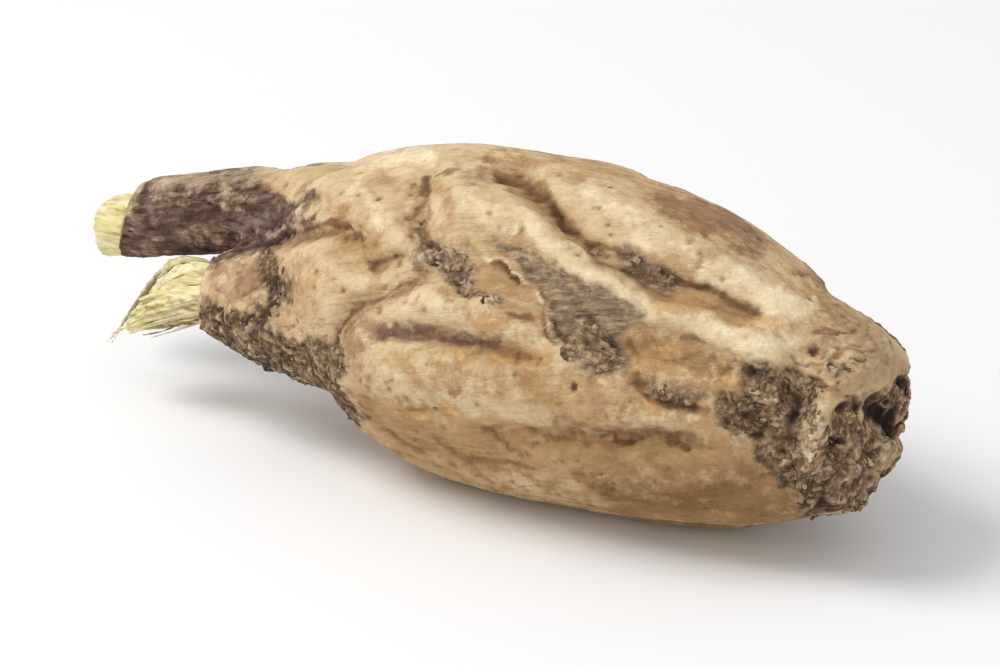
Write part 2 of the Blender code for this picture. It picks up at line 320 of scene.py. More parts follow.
# Where each finish lies on the side that shows. A patch is its edge's softness in pixels, its
# strength and its corners in the photograph's pixels
patches = {
    "bark": [
        (3.0, 1.0, "46,300 46,250 56,236 80,228 112,228 138,232 140,243 152,250 158,258 156,266 162,271 "
                   "142,279 118,286 96,294"),
    ],
    "crust": [
        (3.0, 1.0, "137,278 146,279 153,290 156,301 152,312 144,321 152,328 160,332 172,329 182,334 "
                   "188,345 185,356 191,366 198,374 186,386 172,378 156,367 135,357 118,350 106,340 "
                   "98,325 104,310 114,307 122,313 134,313 141,306 138,296"),
        (3.0, 1.0, "405,342 420,342 436,347 448,351 456,358 452,370 443,376 441,392 448,402 453,418 "
                   "453,442 443,442 440,418 430,410 425,400 414,396 416,386 404,384 394,382 392,372 "
                   "396,364 406,361 408,352"),
    ],
    "crumb": [
        (3.0, 0.9, "230,276 240,274 252,278 258,288 254,296 240,294 230,288"),
    ],
    "grey": [
        (2.5, 1.0, "270,277 286,278 298,284 310,294 324,299 340,305 356,316 346,322 339,328 341,336 "
                   "346,343 341,349 330,350 318,348 312,342 311,337 304,331 300,325 301,310 297,302 "
                   "288,296 280,289"),
        (2.5, 1.0, "336,279 350,281 364,288 378,297 370,304 354,304 343,295"),
        (3.0, 0.7, "340,276 352,280 352,286 342,285"),
        (3.5, 0.6, "222,276 240,277 256,284 262,296 250,300 234,296 224,290"),
    ],
    # the tan finish is partly the skin's own tan and partly painted shade on the lower flanks of the ridges
    # and low on the body
    "tan_and_shade": [
        (8.0, 0.8, "352,246 372,248 402,262 424,276 404,280 376,274 356,262"),
        (8.0, 0.7, "440,292 462,306 490,330 476,340 452,326 440,312"),
        (8.0, 0.8, "340,316 366,318 400,334 408,356 392,374 352,366 338,340"),
        (8.0, 1.0, "190,362 240,370 300,378 392,378 420,392 410,412 330,408 262,406 206,392"),
        (8.0, 0.8, "290,350 340,356 404,366 404,388 330,384 280,372"),
        (8.0, 0.75, "230,338 290,342 330,356 320,374 270,366 236,356"),
        (6.0, 0.5, "194,338 228,340 236,358 204,360"),
        (6.0, 0.8, "344,272 372,272 420,296 440,314 424,316 384,300 350,288"),
        (8.0, 0.6, "220,268 244,272 268,292 270,318 250,322 236,306 224,296"),
    ],
    "collar": [
        (4.0, 1.0, "450,324 462,318 480,316 502,346 500,364 480,362 462,368 450,362 443,350 442,336"),
        (2.0, 0.8, "450,374 458,366 461,371 455,388 452,402 448,400 449,388"),
    ],
    "end_light": [
        (4.0, 0.9, "484,388 496,382 508,384 506,398 494,410 480,414 478,402"),
    ],
    "orange": [
        (6.0, 0.6, "346,326 372,332 398,340 404,352 392,364 372,362 354,356 344,340"),
    ],
    "pink": [
        (4.0, 0.8, "110,288 124,284 136,288 139,300 134,310 118,312 110,304"),
    ],
    "pale": [
        (5.0, 0.8, "372,322 396,326 440,330 440,344 424,342 400,336 378,330"),
    ],
    "blunt_end": [
        (2.5, 1.0, "460,371 468,366 478,362 488,360 494,354 500,350 508,352 512,380 508,400 500,420 "
                   "486,446 450,446 449,412 452,396 456,380"),
    ],
    # the underside finish is painted shade: the body's underside is painted darker brown where it lies in
    # shade
    "underside_shade": [
        (12.0, 0.45, "190,384 230,404 300,408 340,400 400,398 430,402 450,420 480,440 300,450 180,430"),
        (16.0, 0.95, "330,412 380,404 430,400 450,420 480,440 330,450"),
    ],
}
# A stroke is its half width in pixels, its strength and its path
strokes = {
    "bark": [
        (2.5, 0.8, "150,258 162,254 170,247"),
        (2.0, 0.7, "152,264 164,264 170,261"),
        (1.6, 0.8, "118,281 136,277 158,272"),
    ],
    "crust": [
        (5.0, 0.9, "306,330 320,338 340,346"),
        (4.5, 0.85, "316,318 330,330 338,342"),
        (2.0, 0.8, "303,318 305,330 312,342"),
        (2.0, 0.7, "320,280 332,283 342,287"),
        (2.0, 0.8, "243,297 252,303 262,311"),
        (2.0, 0.7, "262,311 272,309"),
        (4.0, 0.8, "353,356 362,361 374,364 384,366"),
        (4.0, 0.95, "342,284 356,292 372,298"),
        (2.4, 0.3, "396,306 408,313 418,318"),
        (2.0, 0.45, "352,322 346,334 352,346"),
        (2.4, 0.45, "240,330 254,332 268,334"),
        (2.4, 0.4, "292,380 300,384 284,390"),
        (2.0, 0.4, "308,381 324,383 340,386"),
        (2.0, 0.5, "154,262 164,258 172,250"),
        (2.0, 0.5, "158,270 168,262 172,256"),
        (3.0, 0.55, "446,336 450,333"),
        (2.0, 0.5, "452,350 462,352 470,344 480,342"),
    ],
    "crumb": [
        (2.4, 0.9, "246,292 254,300 262,307 272,310"),
        (1.6, 0.9, "254,294 260,302 268,308"),
        (2.0, 0.7, "230,262 229,272 232,280"),
        (2.0, 0.8, "346,282 352,286 362,292"),
        (1.8, 0.5, "358,357 370,360"),
        (2.0, 0.8, "452,344 460,348 466,344"),
        (1.8, 0.7, "440,352 446,360 442,370"),
        (4.0, 0.85, "453,372 447,384 446,396 452,408"),
        (2.4, 0.7, "310,338 320,344 334,346"),
        (2.0, 0.6, "116,324 128,330 140,336"),
        (2.0, 0.7, "414,362 424,366 430,360"),
        (2.0, 0.7, "420,392 430,396 440,402"),
        (1.6, 0.6, "124,254 132,256 142,254"),
    ],
    "grey": [
        (2.6, 0.85, "366,296 376,298"),
        (2.6, 0.4, "376,298 388,302 404,309 420,318"),
        (2.2, 0.7, "404,269 414,273 424,279"),
        (3.2, 0.6, "354,352 368,357 386,360 400,364"),
        (3.0, 0.5, "346,284 340,292 352,300"),
        (3.0, 0.5, "308,382 330,383 360,384 390,386"),
        (2.2, 0.45, "232,252 228,264 231,276"),
        (2.6, 0.4, "464,334 480,336 492,342"),
        (3.4, 0.6, "84,241 104,240 124,240 138,240"),
    ],
    # the furrow finish is the furrows' own brown, widened with painted shade where they are deep
    "furrow_brown_and_shade": [
        (3.8, 0.9, "268,239 282,241 292,246 300,254"),
        (4.0, 1.0, "298,252 305,260 311,268 318,277"),
        (1.6, 0.9, "318,277 328,279 340,281"),
        (1.3, 0.8, "318,281 330,288 342,293 352,300"),
        (3.5, 0.55, "350,303 360,308 372,306"),
        (1.8, 0.8, "366,297 378,298 392,304"),
        (3.0, 0.7, "394,305 408,312 420,318"),
        (2.6, 0.9, "232,239 231,246 228,251"),
        (1.2, 0.8, "236,240 242,238 252,234"),
        (1.5, 0.6, "229,255 226,264 223,276"),
        (1.3, 0.6, "233,258 232,270 234,280"),
        (1.2, 0.85, "234,293 222,299 208,306 196,312 189,318 183,327 181,336"),
        (1.8, 0.8, "198,293 205,288 215,285"),
        (2.4, 0.9, "178,262 184,264 190,268"),
        (1.3, 0.9, "160,271 176,267 188,267 194,272 197,278"),
        (3.0, 1.0, "276,318 284,318 292,318"),
        (1.6, 0.9, "268,286 276,292 284,300"),
        (1.4, 0.8, "296,300 298,312 297,324 304,334"),
        (2.4, 0.45, "372,331 386,334 398,337 406,342"),
        (2.2, 0.6, "346,349 350,356 356,363 366,366"),
        (2.6, 0.8, "366,366 378,368 392,373"),
        (2.0, 0.8, "334,388 342,390 346,387"),
        (1.8, 0.8, "368,389 374,391 380,394"),
        (1.2, 0.6, "232,383 240,391 252,396 270,398"),
        (1.5, 0.7, "206,380 216,388 230,394"),
        (1.7, 0.7, "250,399 272,399 296,404"),
        (1.5, 0.7, "264,379 272,384 280,392 292,396"),
        (1.8, 0.6, "322,381 338,383 360,385 382,385"),
        (2.4, 0.7, "212,352 214,354"),
        (2.2, 0.7, "247,361 253,359"),
        (2.0, 0.9, "314,357 317,358"),
        (1.6, 0.6, "306,366 310,366"),
        (3.0, 0.8, "386,273 391,272"),
        (1.4, 0.8, "368,256 371,262"),
        (1.4, 0.7, "378,260 384,264"),
        (1.6, 0.7, "362,268 364,270"),
        (1.4, 0.7, "412,281 420,280"),
        (1.2, 0.6, "352,250 356,254"),
        (1.2, 0.6, "476,256 479,257"),
        (1.3, 0.8, "222,245 226,244"),
        (1.3, 0.7, "255,250 257,250"),
        (1.3, 0.6, "267,259 270,260"),
        (1.6, 0.7, "328,257 331,256"),
        (1.4, 0.6, "206,300 210,300"),
        (2.4, 0.6, "362,257 370,262 378,266"),
        (1.6, 0.6, "398,278 408,280 420,279"),
        (3.4, 0.9, "445,339 448,335 451,332"),
        (1.0, 0.8, "447,327 458,328 468,326 476,323"),
        (1.0, 0.7, "462,336 474,337 486,336"),
        (1.3, 0.9, "472,342 480,342"),
        (1.2, 0.7, "442,344 452,345 460,340 466,337"),
        (1.4, 0.8, "446,350 454,355 460,357 464,350"),
        (1.5, 0.8, "128,306 136,300 140,290"),
        (1.2, 0.6, "324,257 330,256"),
        (2.2, 0.55, "192,320 187,332 190,345"),
        (1.6, 0.6, "262,326 270,330 276,328"),
        (1.8, 0.6, "214,362 222,366 236,368"),
    ],
    # tan, with painted shade on the ridges' lower flanks
    "tan_and_shade": [
        (4.0, 0.6, "236,240 244,256 240,272"),
        (5.0, 0.5, "262,228 276,236 300,240"),
        (3.0, 0.5, "196,232 210,240 216,252"),
        (3.0, 0.5, "168,250 184,256 196,266"),
        (4.0, 0.6, "268,262 286,274 300,288"),
        (3.0, 0.5, "280,252 296,264 306,276"),
        (3.0, 0.5, "330,262 344,270 356,282"),
        (4.0, 0.5, "300,226 330,232 350,240"),
        (7.0, 0.6, "148,284 160,300 162,322"),
        (6.0, 0.5, "236,336 270,342 306,346"),
        (6.0, 0.6, "274,244 296,258 312,276 334,292"),
        (6.0, 0.7, "344,300 366,308 392,314 420,322"),
        (5.0, 0.5, "226,240 224,256 222,276"),
        (7.0, 0.5, "180,270 200,282 214,292"),
        (6.0, 0.5, "188,314 192,336 200,356"),
        (6.0, 0.5, "244,312 270,324 296,330"),
        (5.0, 0.5, "120,246 150,244 172,256"),
        (7.0, 0.45, "270,226 310,232 346,242"),
    ],
    "collar": [
        (6.0, 0.6, "404,386 414,396 424,408"),
        (5.0, 0.6, "222,246 222,262 218,282 210,292"),
        (5.0, 0.5, "176,320 186,330 192,348 196,364"),
        (4.0, 0.5, "152,322 166,326 178,322"),
    ],
    "bark_top": [
        (5.0, 1.0, "72,240 104,239 126,239 146,236"),
        (1.6, 0.7, "92,248 108,247 124,249 138,251"),
        (1.0, 0.6, "84,253 98,254 112,252 126,256"),
        (1.8, 0.45, "100,274 112,275 120,270"),
        (1.6, 0.7, "134,270 146,269 154,267"),
        (1.2, 0.6, "102,255 103,256"),
        (1.2, 0.6, "126,254 128,256"),
    ],
    "end_light": [
        (3.0, 0.7, "462,376 470,374 476,372"),
        (2.0, 0.8, "480,374 486,382 492,386"),
        (2.0, 0.6, "464,396 470,392 476,398"),
        (2.0, 0.6, "470,414 478,412"),
    ],
    "orange": [
        (6.0, 0.75, "262,316 272,322 284,326"),
        (5.0, 0.9, "264,338 276,342 288,342 304,342"),
        (3.0, 1.0, "282,338 284,345"),
        (6.0, 0.7, "210,366 228,370 250,374"),
        (4.0, 0.8, "236,370 244,374"),
        (2.0, 0.9, "300,254 308,264 316,274"),
        (3.0, 0.9, "354,363 360,368 380,371"),
        (7.0, 0.5, "360,308 384,314 410,322 440,322"),
        (6.0, 0.5, "428,300 446,304"),
        (5.0, 0.45, "280,386 292,392"),
        (6.0, 0.4, "160,300 168,292 178,296"),
        (3.0, 0.5, "206,284 214,292 226,288"),
        (5.0, 0.4, "240,332 256,336 270,334"),
    ],
    "pink": [
        (7.0, 1.0, "358,250 378,256 400,266 424,280"),
        (5.0, 0.6, "318,288 332,294 346,300"),
        (4.0, 0.6, "302,276 312,284 326,292"),
        (6.0, 0.5, "128,282 150,276 172,276"),
        (5.0, 0.4, "212,312 240,306 262,312"),
        (4.0, 0.6, "190,318 200,324 206,332"),
        (5.0, 0.6, "440,290 456,300 470,312"),
        (5.0, 0.4, "452,314 466,320 480,330"),
        (8.0, 0.45, "246,236 262,234 280,236"),
        (6.0, 0.5, "324,362 336,368 350,372"),
        (4.0, 0.55, "300,378 320,378 336,380"),
        (5.0, 0.5, "268,380 276,388 268,394"),
        (4.0, 0.6, "120,300 128,306"),
        (4.5, 0.5, "190,326 196,346 200,366"),
        (4.0, 0.5, "402,384 408,394"),
        (6.0, 0.5, "394,404 410,402"),
        (5.0, 0.4, "360,352 384,356"),
        (6.0, 0.5, "350,322 358,330 366,338"),
    ],
    "bark_grey": [
        (3.0, 0.9, "116,269 132,264 150,263"),
        (2.0, 0.7, "72,254 78,258 80,264"),
        (1.8, 0.7, "102,272 108,276 116,278"),
        (1.6, 0.6, "88,270 93,264 98,262"),
    ],
    "lip": [
        (4.0, 1.0, "459,362 474,355 488,350 502,347"),
    ],
    "rust": [
        (2.4, 0.9, "177,263 184,266 190,270"),
        (1.0, 0.7, "190,270 194,274"),
        (1.0, 0.8, "448,326 456,326 463,327"),
        (1.6, 0.6, "59,282 64,284 70,284"),
        (1.6, 0.8, "283,338 284,346"),
        (3.4, 0.4, "268,336 282,341 296,343"),
        (2.6, 0.5, "274,317 283,319 292,318"),
        (1.4, 0.7, "354,362 358,366 364,367"),
        (2.6, 0.5, "306,260 312,268"),
    ],
    "purple": [
        (4.0, 1.0, "203,326 216,328 226,327 236,328"),
        (3.0, 0.9, "236,328 248,331 260,331 270,334"),
        (2.0, 0.8, "262,332 270,334 274,331"),
        (3.0, 0.7, "348,292 358,298 368,300"),
        (3.2, 0.7, "434,360 440,368 438,378"),
        (2.0, 0.6, "96,268 110,272 126,266"),
        (2.2, 0.5, "336,384 356,386 376,387"),
        (2.0, 0.5, "374,330 388,334"),
        (2.0, 0.6, "162,332 176,338"),
    ],
    "pale": [
        (6.0, 0.8, "392,288 408,298 426,306"),
        (6.0, 0.6, "340,268 360,276 388,286"),
        (4.0, 0.6, "282,262 300,276 322,292 346,308 362,320"),
        (7.0, 0.6, "180,226 210,230 240,226"),
        (7.0, 0.4, "188,240 200,256 206,272"),
        (4.0, 0.35, "206,346 212,352 222,350"),
        (5.0, 0.4, "250,366 276,370 306,372"),
        (1.0, 1.0, "262,285 272,287 280,294 289,300"),
        (1.0, 0.9, "292,302 297,310 300,318 300,328 306,333 314,335"),
        (1.0, 0.7, "322,284 332,288 342,293"),
        (1.4, 0.55, "327,353 331,355 333,358"),
        (1.6, 0.9, "68,262 68,252 76,246 88,242"),
        (1.4, 0.6, "188,266 194,270 198,276"),
        (1.6, 0.5, "372,351 384,353 396,350"),
        (1.6, 0.5, "390,338 394,348 392,358"),
        (9.0, 0.5, "316,244 340,258 368,276"),
        (8.0, 0.5, "250,250 266,260 284,270"),
        (2.0, 0.5, "340,372 356,376 372,376"),
        (2.4, 0.4, "376,376 388,372 396,376"),
        (5.0, 0.5, "116,294 122,300"),
        (2.0, 0.5, "134,270 146,269 154,267"),
        (6.0, 0.9, "384,292 404,302 430,312 452,314"),
        (7.0, 0.9, "382,324 404,332 434,338"),
        (1.2, 0.8, "144,342 164,352 184,368 198,378"),
        (5.0, 0.6, "494,388 498,396 490,404"),
        (2.0, 0.6, "230,284 238,288 244,292"),
        (2.0, 0.6, "246,284 252,288"),
    ],
    # the hole finish is painted shade: near black in the end face's hole and in the gaps and cracks that lie
    # in shade
    "hole_shade": [
        (2.8, 1.0, "484,370 490,374 497,379 504,382"),
        (2.0, 0.9, "499,352 503,358 506,366"),
        (2.4, 0.25, "458,412 457,402 459,390"),
        (4.0, 0.7, "446,425 460,426 474,424"),
        (2.4, 0.5, "470,372 480,366 490,362"),
        (2.0, 0.6, "416,394 424,402 434,412"),
        (2.0, 0.6, "432,356 438,366 436,380"),
        (1.6, 0.6, "416,344 412,352 414,360"),
        (1.4, 0.7, "396,380 402,383 408,382"),
        (1.8, 0.6, "136,276 148,274 160,271"),
        (1.6, 0.7, "64,284 76,287 92,285"),
        (1.6, 0.6, "72,262 80,268 96,266"),
    ],
    # painted shade on the underside
    "underside_shade": [
        (9.0, 0.6, "392,408 420,416 440,424"),
    ],
}
# On the hidden side: half width in mm, strength, then x in mm with the turn round the root in degrees
backStrokes = {
    "crust": [
        (3.2, 0.9, "-19,55 -17,90 -19,130 -21,160"),
        (2.6, 0.8, "34,20 32,60 35,100 32,145 34,185"),
        (2.2, 0.7, "8,112 16,116 22,112"),
        (1.6, 0.6, "-10,98 -4,106 4,112"),
        (1.4, 0.6, "12,62 20,60 27,66"),
    ],
    "crumb": [
        (1.2, 0.8, "-8,100 2,110 12,114"),
        (1.2, 0.7, "14,60 24,62 31,68"),
        (1.4, 0.7, "36,60 37,100 36,140"),
    ],
    "grey": [
        (2.4, 0.9, "-13,96 -2,108 10,116 20,112 29,105"),
        (1.6, 0.8, "-12,44 0,56 10,64 22,61 31,68"),
        (1.4, 0.6, "6,154 16,160 28,152"),
    ],
    "furrow_brown_and_shade": [
        (0.8, 0.9, "-12,44 0,56 10,64 22,61 31,68"),
        (1.0, 0.9, "-13,96 -2,108 10,116 20,112 30,105"),
        (0.7, 0.8, "-11,124 -5,136 5,146"),
        (0.8, 0.8, "7,156 17,162 29,152"),
        (0.6, 0.7, "13,76 20,98 26,94"),
        (0.6, 0.6, "-14,62 -12,90 -14,125"),
        (0.5, 0.7, "-2,30 8,38 22,34"),
        (0.5, 0.6, "-6,84 6,90 20,86 30,90"),
        (0.5, 0.6, "-4,172 8,178 24,170"),
        (0.5, 0.6, "2,134 12,132 24,136"),
    ],
    "tan_and_shade": [
        (2.6, 0.7, "-14,44 0,56 10,64 22,61 32,68"),
        (2.8, 0.7, "-14,96 -2,108 10,116 20,112 30,105"),
        (2.4, 0.6, "-12,124 -5,136 5,146"),
        (3.4, 0.7, "0,158 12,164 28,156"),
        (3.0, 0.6, "28,40 32,80 33,120"),
    ],
    "collar": [
        (5.0, 0.9, "37,30 37.5,90 37.5,150 37,190"),
    ],
    "orange": [
        (2.6, 0.7, "0,72 8,76 16,72"),
        (2.2, 0.7, "14,126 22,128 28,122"),
        (2.0, 0.6, "-8,118 -2,124"),
        (2.4, 0.6, "2,164 14,170"),
        (2.0, 0.6, "-10,76 -2,80"),
    ],
    "pink": [
        (3.0, 0.6, "24,50 32,70 34,100"),
        (3.0, 0.5, "-8,60 2,70"),
        (2.4, 0.5, "24,140 32,160"),
    ],
    "rust": [
        (0.6, 0.7, "-4,60 0,64"),
        (0.5, 0.6, "22,116 27,112"),
    ],
    "purple": [
        (1.4, 0.8, "-6,104 4,112 10,114"),
        (1.2, 0.7, "14,62 20,62"),
    ],
    "pale": [
        (2.2, 0.6, "-8,80 4,86 16,82 28,88"),
        (2.2, 0.6, "-4,130 8,138 24,132"),
        (1.6, 0.5, "0,40 12,44 24,40"),
    ],
}

# Broad ridges and furrows: half width in pixels, height in mm, then photograph pixels
forms = [
    (7.0, 0.45, "276,254 298,268 322,288 346,306 372,318 404,330 436,340"),
    (8.0, 0.35, "352,264 384,280 416,298 446,312"),
    (5.0, -0.12, "264,238 288,244 304,258 320,277 346,284 376,296 420,318"),
    (7.0, -0.35, "330,330 356,338 384,346 402,352"),
    (4.0, 0.3, "204,326 236,329 262,333"),
    (3.0, 0.3, "170,268 184,266 194,272"),
    (2.4, 0.2, "232,294 208,306 190,318 182,332"),
    (8.0, 0.3, "70,284 96,282 120,278"),
    (9.0, 0.25, "196,348 236,356 280,364 330,370 390,372"),
    (5.0, -0.25, "214,382 250,392 290,388 340,386 396,388"),
    (6.0, 0.35, "224,304 244,312 268,312"),
    (5.0, 0.3, "168,284 186,296 200,300"),
    (6.0, 0.3, "246,244 262,258 274,272"),
    (4.0, -0.3, "446,336 462,340 478,342"),
]

# Cracks and creases cut into the finer skin: half width and height in pixels and mm
creases = [
    (2.2, -0.5, "268,239 284,242 300,255 310,267 319,278"),
    (1.3, -0.35, "319,278 332,280 344,284"),
    (1.2, -0.35, "318,282 332,289 344,294 356,300"),
    (1.0, 0.25, "320,281 332,285 344,290"),
    (1.8, -0.5, "352,291 368,297 386,301 404,310 420,319"),
    (2.0, -0.5, "232,240 231,246 228,252"),
    (1.2, -0.3, "229,254 226,264 223,276 222,286"),
    (1.2, -0.3, "233,257 232,270 236,280"),
    (1.1, -0.5, "234,293 222,299 208,306 196,312 189,318 183,327 181,336"),
    (1.4, -0.4, "198,293 205,288 215,285"),
    (1.2, -0.5, "160,271 176,267 188,267 194,272 197,278"),
    (1.6, -0.6, "112,282 130,278 146,275 160,271"),
    (2.6, -0.6, "276,318 284,318 292,318"),
    (1.3, -0.5, "268,287 276,293 285,301"),
    (0.9, 0.35, "262,284 272,286 281,294 290,300"),
    (1.0, 0.4, "292,302 297,310 301,318 301,328 307,333 316,335"),
    (1.2, -0.45, "296,302 297,312 296,324 303,334"),
    (1.8, -0.2, "372,331 386,334 398,337 406,342"),
    (2.2, -0.25, "346,349 350,356 356,363 368,366 380,369"),
    (1.6, -0.45, "334,388 342,390 347,387"),
    (1.6, -0.45, "366,388 374,391 381,394"),
    (1.1, -0.3, "232,383 240,391 252,396 270,398"),
    (1.2, -0.35, "206,380 216,388 230,394"),
    (1.4, -0.35, "250,399 272,399 296,404"),
    (1.2, -0.35, "264,379 272,384 280,392 292,396"),
    (1.6, -0.2, "205,326 222,329 240,330 262,334"),
    (1.8, -0.4, "211,353 215,353"),
    (1.8, -0.4, "247,361 253,359"),
    (1.8, -0.5, "314,357 317,358"),
    (2.4, -0.6, "445,339 448,335 451,332"),
    (0.9, -0.35, "447,327 458,328 468,326 476,323"),
    (0.9, -0.3, "462,336 474,337 486,336"),
    (1.2, -0.5, "472,342 481,342"),
    (1.1, -0.3, "442,344 452,345 460,340 466,337"),
    (1.1, -0.4, "446,350 454,355 460,357 464,350"),
    (1.2, 0.25, "450,402 454,388 460,376 468,369"),
    (2.6, -1.9, "483,370 489,373 496,378 504,382"),
    (2.2, -1.2, "499,352 503,358 505,364"),
    (2.0, 0.5, "466,376 474,374 480,380"),
    (2.4, 0.4, "464,396 470,402 466,410"),
    (2.4, 0.5, "456,384 460,392 459,402"),
    (3.0, 0.4, "488,386 496,392 492,402 482,408"),
]
backCreases = [
    (0.5, -0.4, "-12,44 0,56 10,64 22,61 31,68"),
    (0.6, -0.5, "-13,96 -2,108 10,116 20,112 30,105"),
    (0.45, -0.35, "-11,124 -5,136 5,146"),
    (0.5, -0.4, "7,156 17,162 29,152"),
    (0.4, -0.3, "13,76 20,98 26,94"),
    (0.35, -0.25, "-2,30 8,38 22,34"),
    (0.35, -0.25, "-6,84 6,90 20,86 30,90"),
    (0.35, -0.25, "2,134 12,132 24,136"),
]

relief = {
    "wrinkle": (0.08, (9.0, 1.5, 1.5)),  # height and lump sizes in mm, long along the root
    "fineWrinkle": (0.05, (4.5, 0.8, 0.8)),
    "crust": (0.3, 1.5),
    "fineCrust": (0.1, 1.1),
    "bark": (0.26, (7.0, 0.95, 0.95)),
    "bluntEnd": (0.5, 2.4),
    "pits": 420,
    "pitDepth": 0.22,
    "twist": 1.0,  # degrees of turn for each mm along the root
    "longNeckLean": (0.0, 0.215),  # mm that a neck's middle moves in y and z for each mm of x
    "shortNeckLean": (0.17, 0.13),
    "neckStart": -6.0,  # x in mm where the necks start to lean
    "crackWidth": 1.5,  # times its drawn half width
    "wander": (3.6, 1.8),  # pixels that a drawn edge wanders, in long and short waves
    "waves": (2.8, 0.9),  # mm
}


def twisted(points):
    # the grain of the skin winds slowly round the root
    turn = np.radians(relief["twist"]) * points[:, 0]
    short = onShortNeck(*points.T)[:, None]
    lean = np.where(short, relief["shortNeckLean"], relief["longNeckLean"])
    middle = np.minimum(points[:, 0] - relief["neckStart"], 0)[:, None] * lean
    y, z = (points[:, 1:] - np.array(photo["aimPoint"])[1:] - middle).T
    cos, sin = np.cos(turn), np.sin(turn)
    return np.stack([points[:, 0], y * cos - z * sin, y * sin + z * cos], axis=1)


points, normals = pointsOf(mesh), normalsOf(mesh)
facing = smoothStep(-0.02, 0.22, normals @ viewAxes()[2])
grain = twisted(points)
(far, slight), (longWave, shortWave) = relief["wander"], relief["waves"]
shifts = [
    far * noiseAt(points, longWave, seed) + slight * noiseAt(points, shortWave, seed + 5)
    for seed in (1, 2)
]
wander = np.stack(shifts, axis=1)
pixels = onPhoto(points) + wander
around = roundTheRoot(points) + wander / photo["pixelsPerMm"] * 2


def finishAt(name):
    # the strongest of its patches and strokes at each point
    front = np.zeros(len(points))
    for softness, strength, corners in patches.get(name, []):
        front = np.maximum(front, strength * patchAt(pixels, softness * brush["softness"], drawn(corners)))
    for halfWidth, strength, path in strokes.get(name, []):
        front = np.maximum(front, strength * strokeAt(pixels, halfWidth * brush["width"], drawn(path)))
    back = np.zeros(len(points))
    for halfWidth, strength, path in backStrokes.get(name, []):
        back = np.maximum(back, strength * strokeAt(around, halfWidth * brush["width"], backPath(path)))
    return facing * front + (1 - facing) * back


masks = {name: finishAt(name) for name in patches | strokes}
print("finishes laid out:", ", ".join(masks))

# What isn't drawn. Pairs are values between which a finish fades in
spread = {
    "paleDepth": (-1.2, -0.4),  # mm from a cut end of the bark, which shows its pale inside
    "paleRadius": 6,  # mm
    "paleFacing": (0.45, 0.8),
    "rimDepth": (-1.1, -0.6),  # mm, for the pale upper rim of the long neck
    "rimRise": (1.2, 2.6),  # mm above the cut's middle
    "rimEnds": -34,  # x in mm
    "barkEnds": -17,  # x in mm on the long neck, give or take the next
    "barkWanders": 3,
    "noBark": -40,  # x in mm past the short neck, which has none
    "barkFade": (1.5, -1.5),  # mm
    "neckStarts": (-9, -14),  # x in mm
    "neckCrust": (-18, 0.04),  # x in mm where it's even, and how fast it gains on the way to the body
    "endCrust": (37, 0.12),
    "endStarts": 41.4,  # x in mm
    # finish: what its cloudy patches follow, their size in mm, their seed and where they fade in
    "clouds": {
        "pink": (points, (9, 5, 5), 6, (0.05, 0.35)),
        "orange": (points, (8, 4, 4), 7, (0.1, 0.4)),
        "grey": (grain, (12, 2.6, 2.6), 8, (0.15, 0.4)),
    },
    "cloudStrength": 0.7,
}


def addFinish(name, values):
    masks[name] = np.maximum(masks[name], values)


along = points[:, 0]
for cut in ("longNeckCut", "shortNeckCut"):
    place, direction = (np.array(row) for row in skinShape[cut])
    beyond = (points - place) @ direction
    near = np.linalg.norm(points - place, axis=1) < spread["paleRadius"]
    turned = smoothStep(*spread["paleFacing"], normals @ direction)
    addFinish("end_light", smoothStep(*spread["paleDepth"], beyond) * near * turned)
place, direction = (np.array(row) for row in skinShape["longNeckCut"])
upper = smoothStep(*spread["rimRise"], points[:, 2] - place[2]) * (along < spread["rimEnds"])
addFinish("end_light", upper * smoothStep(*spread["rimDepth"], (points - place) @ direction))

# the sides that the photograph doesn't show carry on the same finishes
hidden = 1 - facing
shortSide = onShortNeck(*points.T)
barkEnds = spread["barkEnds"] + spread["barkWanders"] * noiseAt(points, (4, 2, 2), 3)
barkLine = np.where(shortSide, spread["noBark"], barkEnds)
addFinish("bark", hidden * smoothStep(*spread["barkFade"], along - barkLine))
onNecks = smoothStep(*spread["neckStarts"], along)
even, gain = spread["neckCrust"]
patchy = noiseAt(points, (7, 4, 4), 4) + (along - even) * gain
addFinish("crust", hidden * shortSide * onNecks * smoothStep(-0.1, 0.3, patchy))
for name, (places, lumps, seed, fades) in spread["clouds"].items():
    addFinish(name, hidden * smoothStep(*fades, noiseAt(places, lumps, seed)) * spread["cloudStrength"])
addFinish("blunt_end", hidden * smoothStep(-0.1, 0.1, along - spread["endStarts"]))
even, gain = spread["endCrust"]
addFinish("crust", hidden * smoothStep(0.0, 0.3, noiseAt(points, (5, 4, 4), 9) + (along - even) * gain))

height = np.zeros(len(points))
size, lumps = relief["wrinkle"]
height -= size * ridgesAt(grain, lumps, 11) ** 2
size, lumps = relief["fineWrinkle"]
height -= size * ridgesAt(grain, lumps, 12)
size, lumps = relief["crust"]
height += masks["crust"] * size * rubbleAt(points, lumps, 13)
height += masks["crumb"] * 0.6 * size * rubbleAt(points, lumps * 0.7, 24)
height += masks["grey"] * 0.3 * size * noiseAt(grain, (3.0, 0.8, 0.8), 15)
knobby = masks["collar"] * (1 - masks["lip"])
knobs = rubbleAt(points, lumps * 1.1, 25) - ridgesAt(points, (1.2, 2.4, 1.2), 26) ** 2
height += knobby * size * 0.7 * knobs
size, lumps = relief["fineCrust"]
height += (masks["crust"] + 0.3 * masks["grey"]) * size * noiseAt(points, lumps, 16)
size, lumps = relief["bark"]
barkHere = masks["bark"] * (1 - 0.7 * masks["end_light"])
height += barkHere * size * (0.6 * noiseAt(points, lumps, 17) - ridgesAt(points, lumps, 18) ** 2)
size, lumps = relief["bluntEnd"]
knobs = rubbleAt(points, lumps, 19) + 0.7 * noiseAt(points, lumps * 1.8, 21)
height += masks["blunt_end"] * (size * knobs - 0.3)
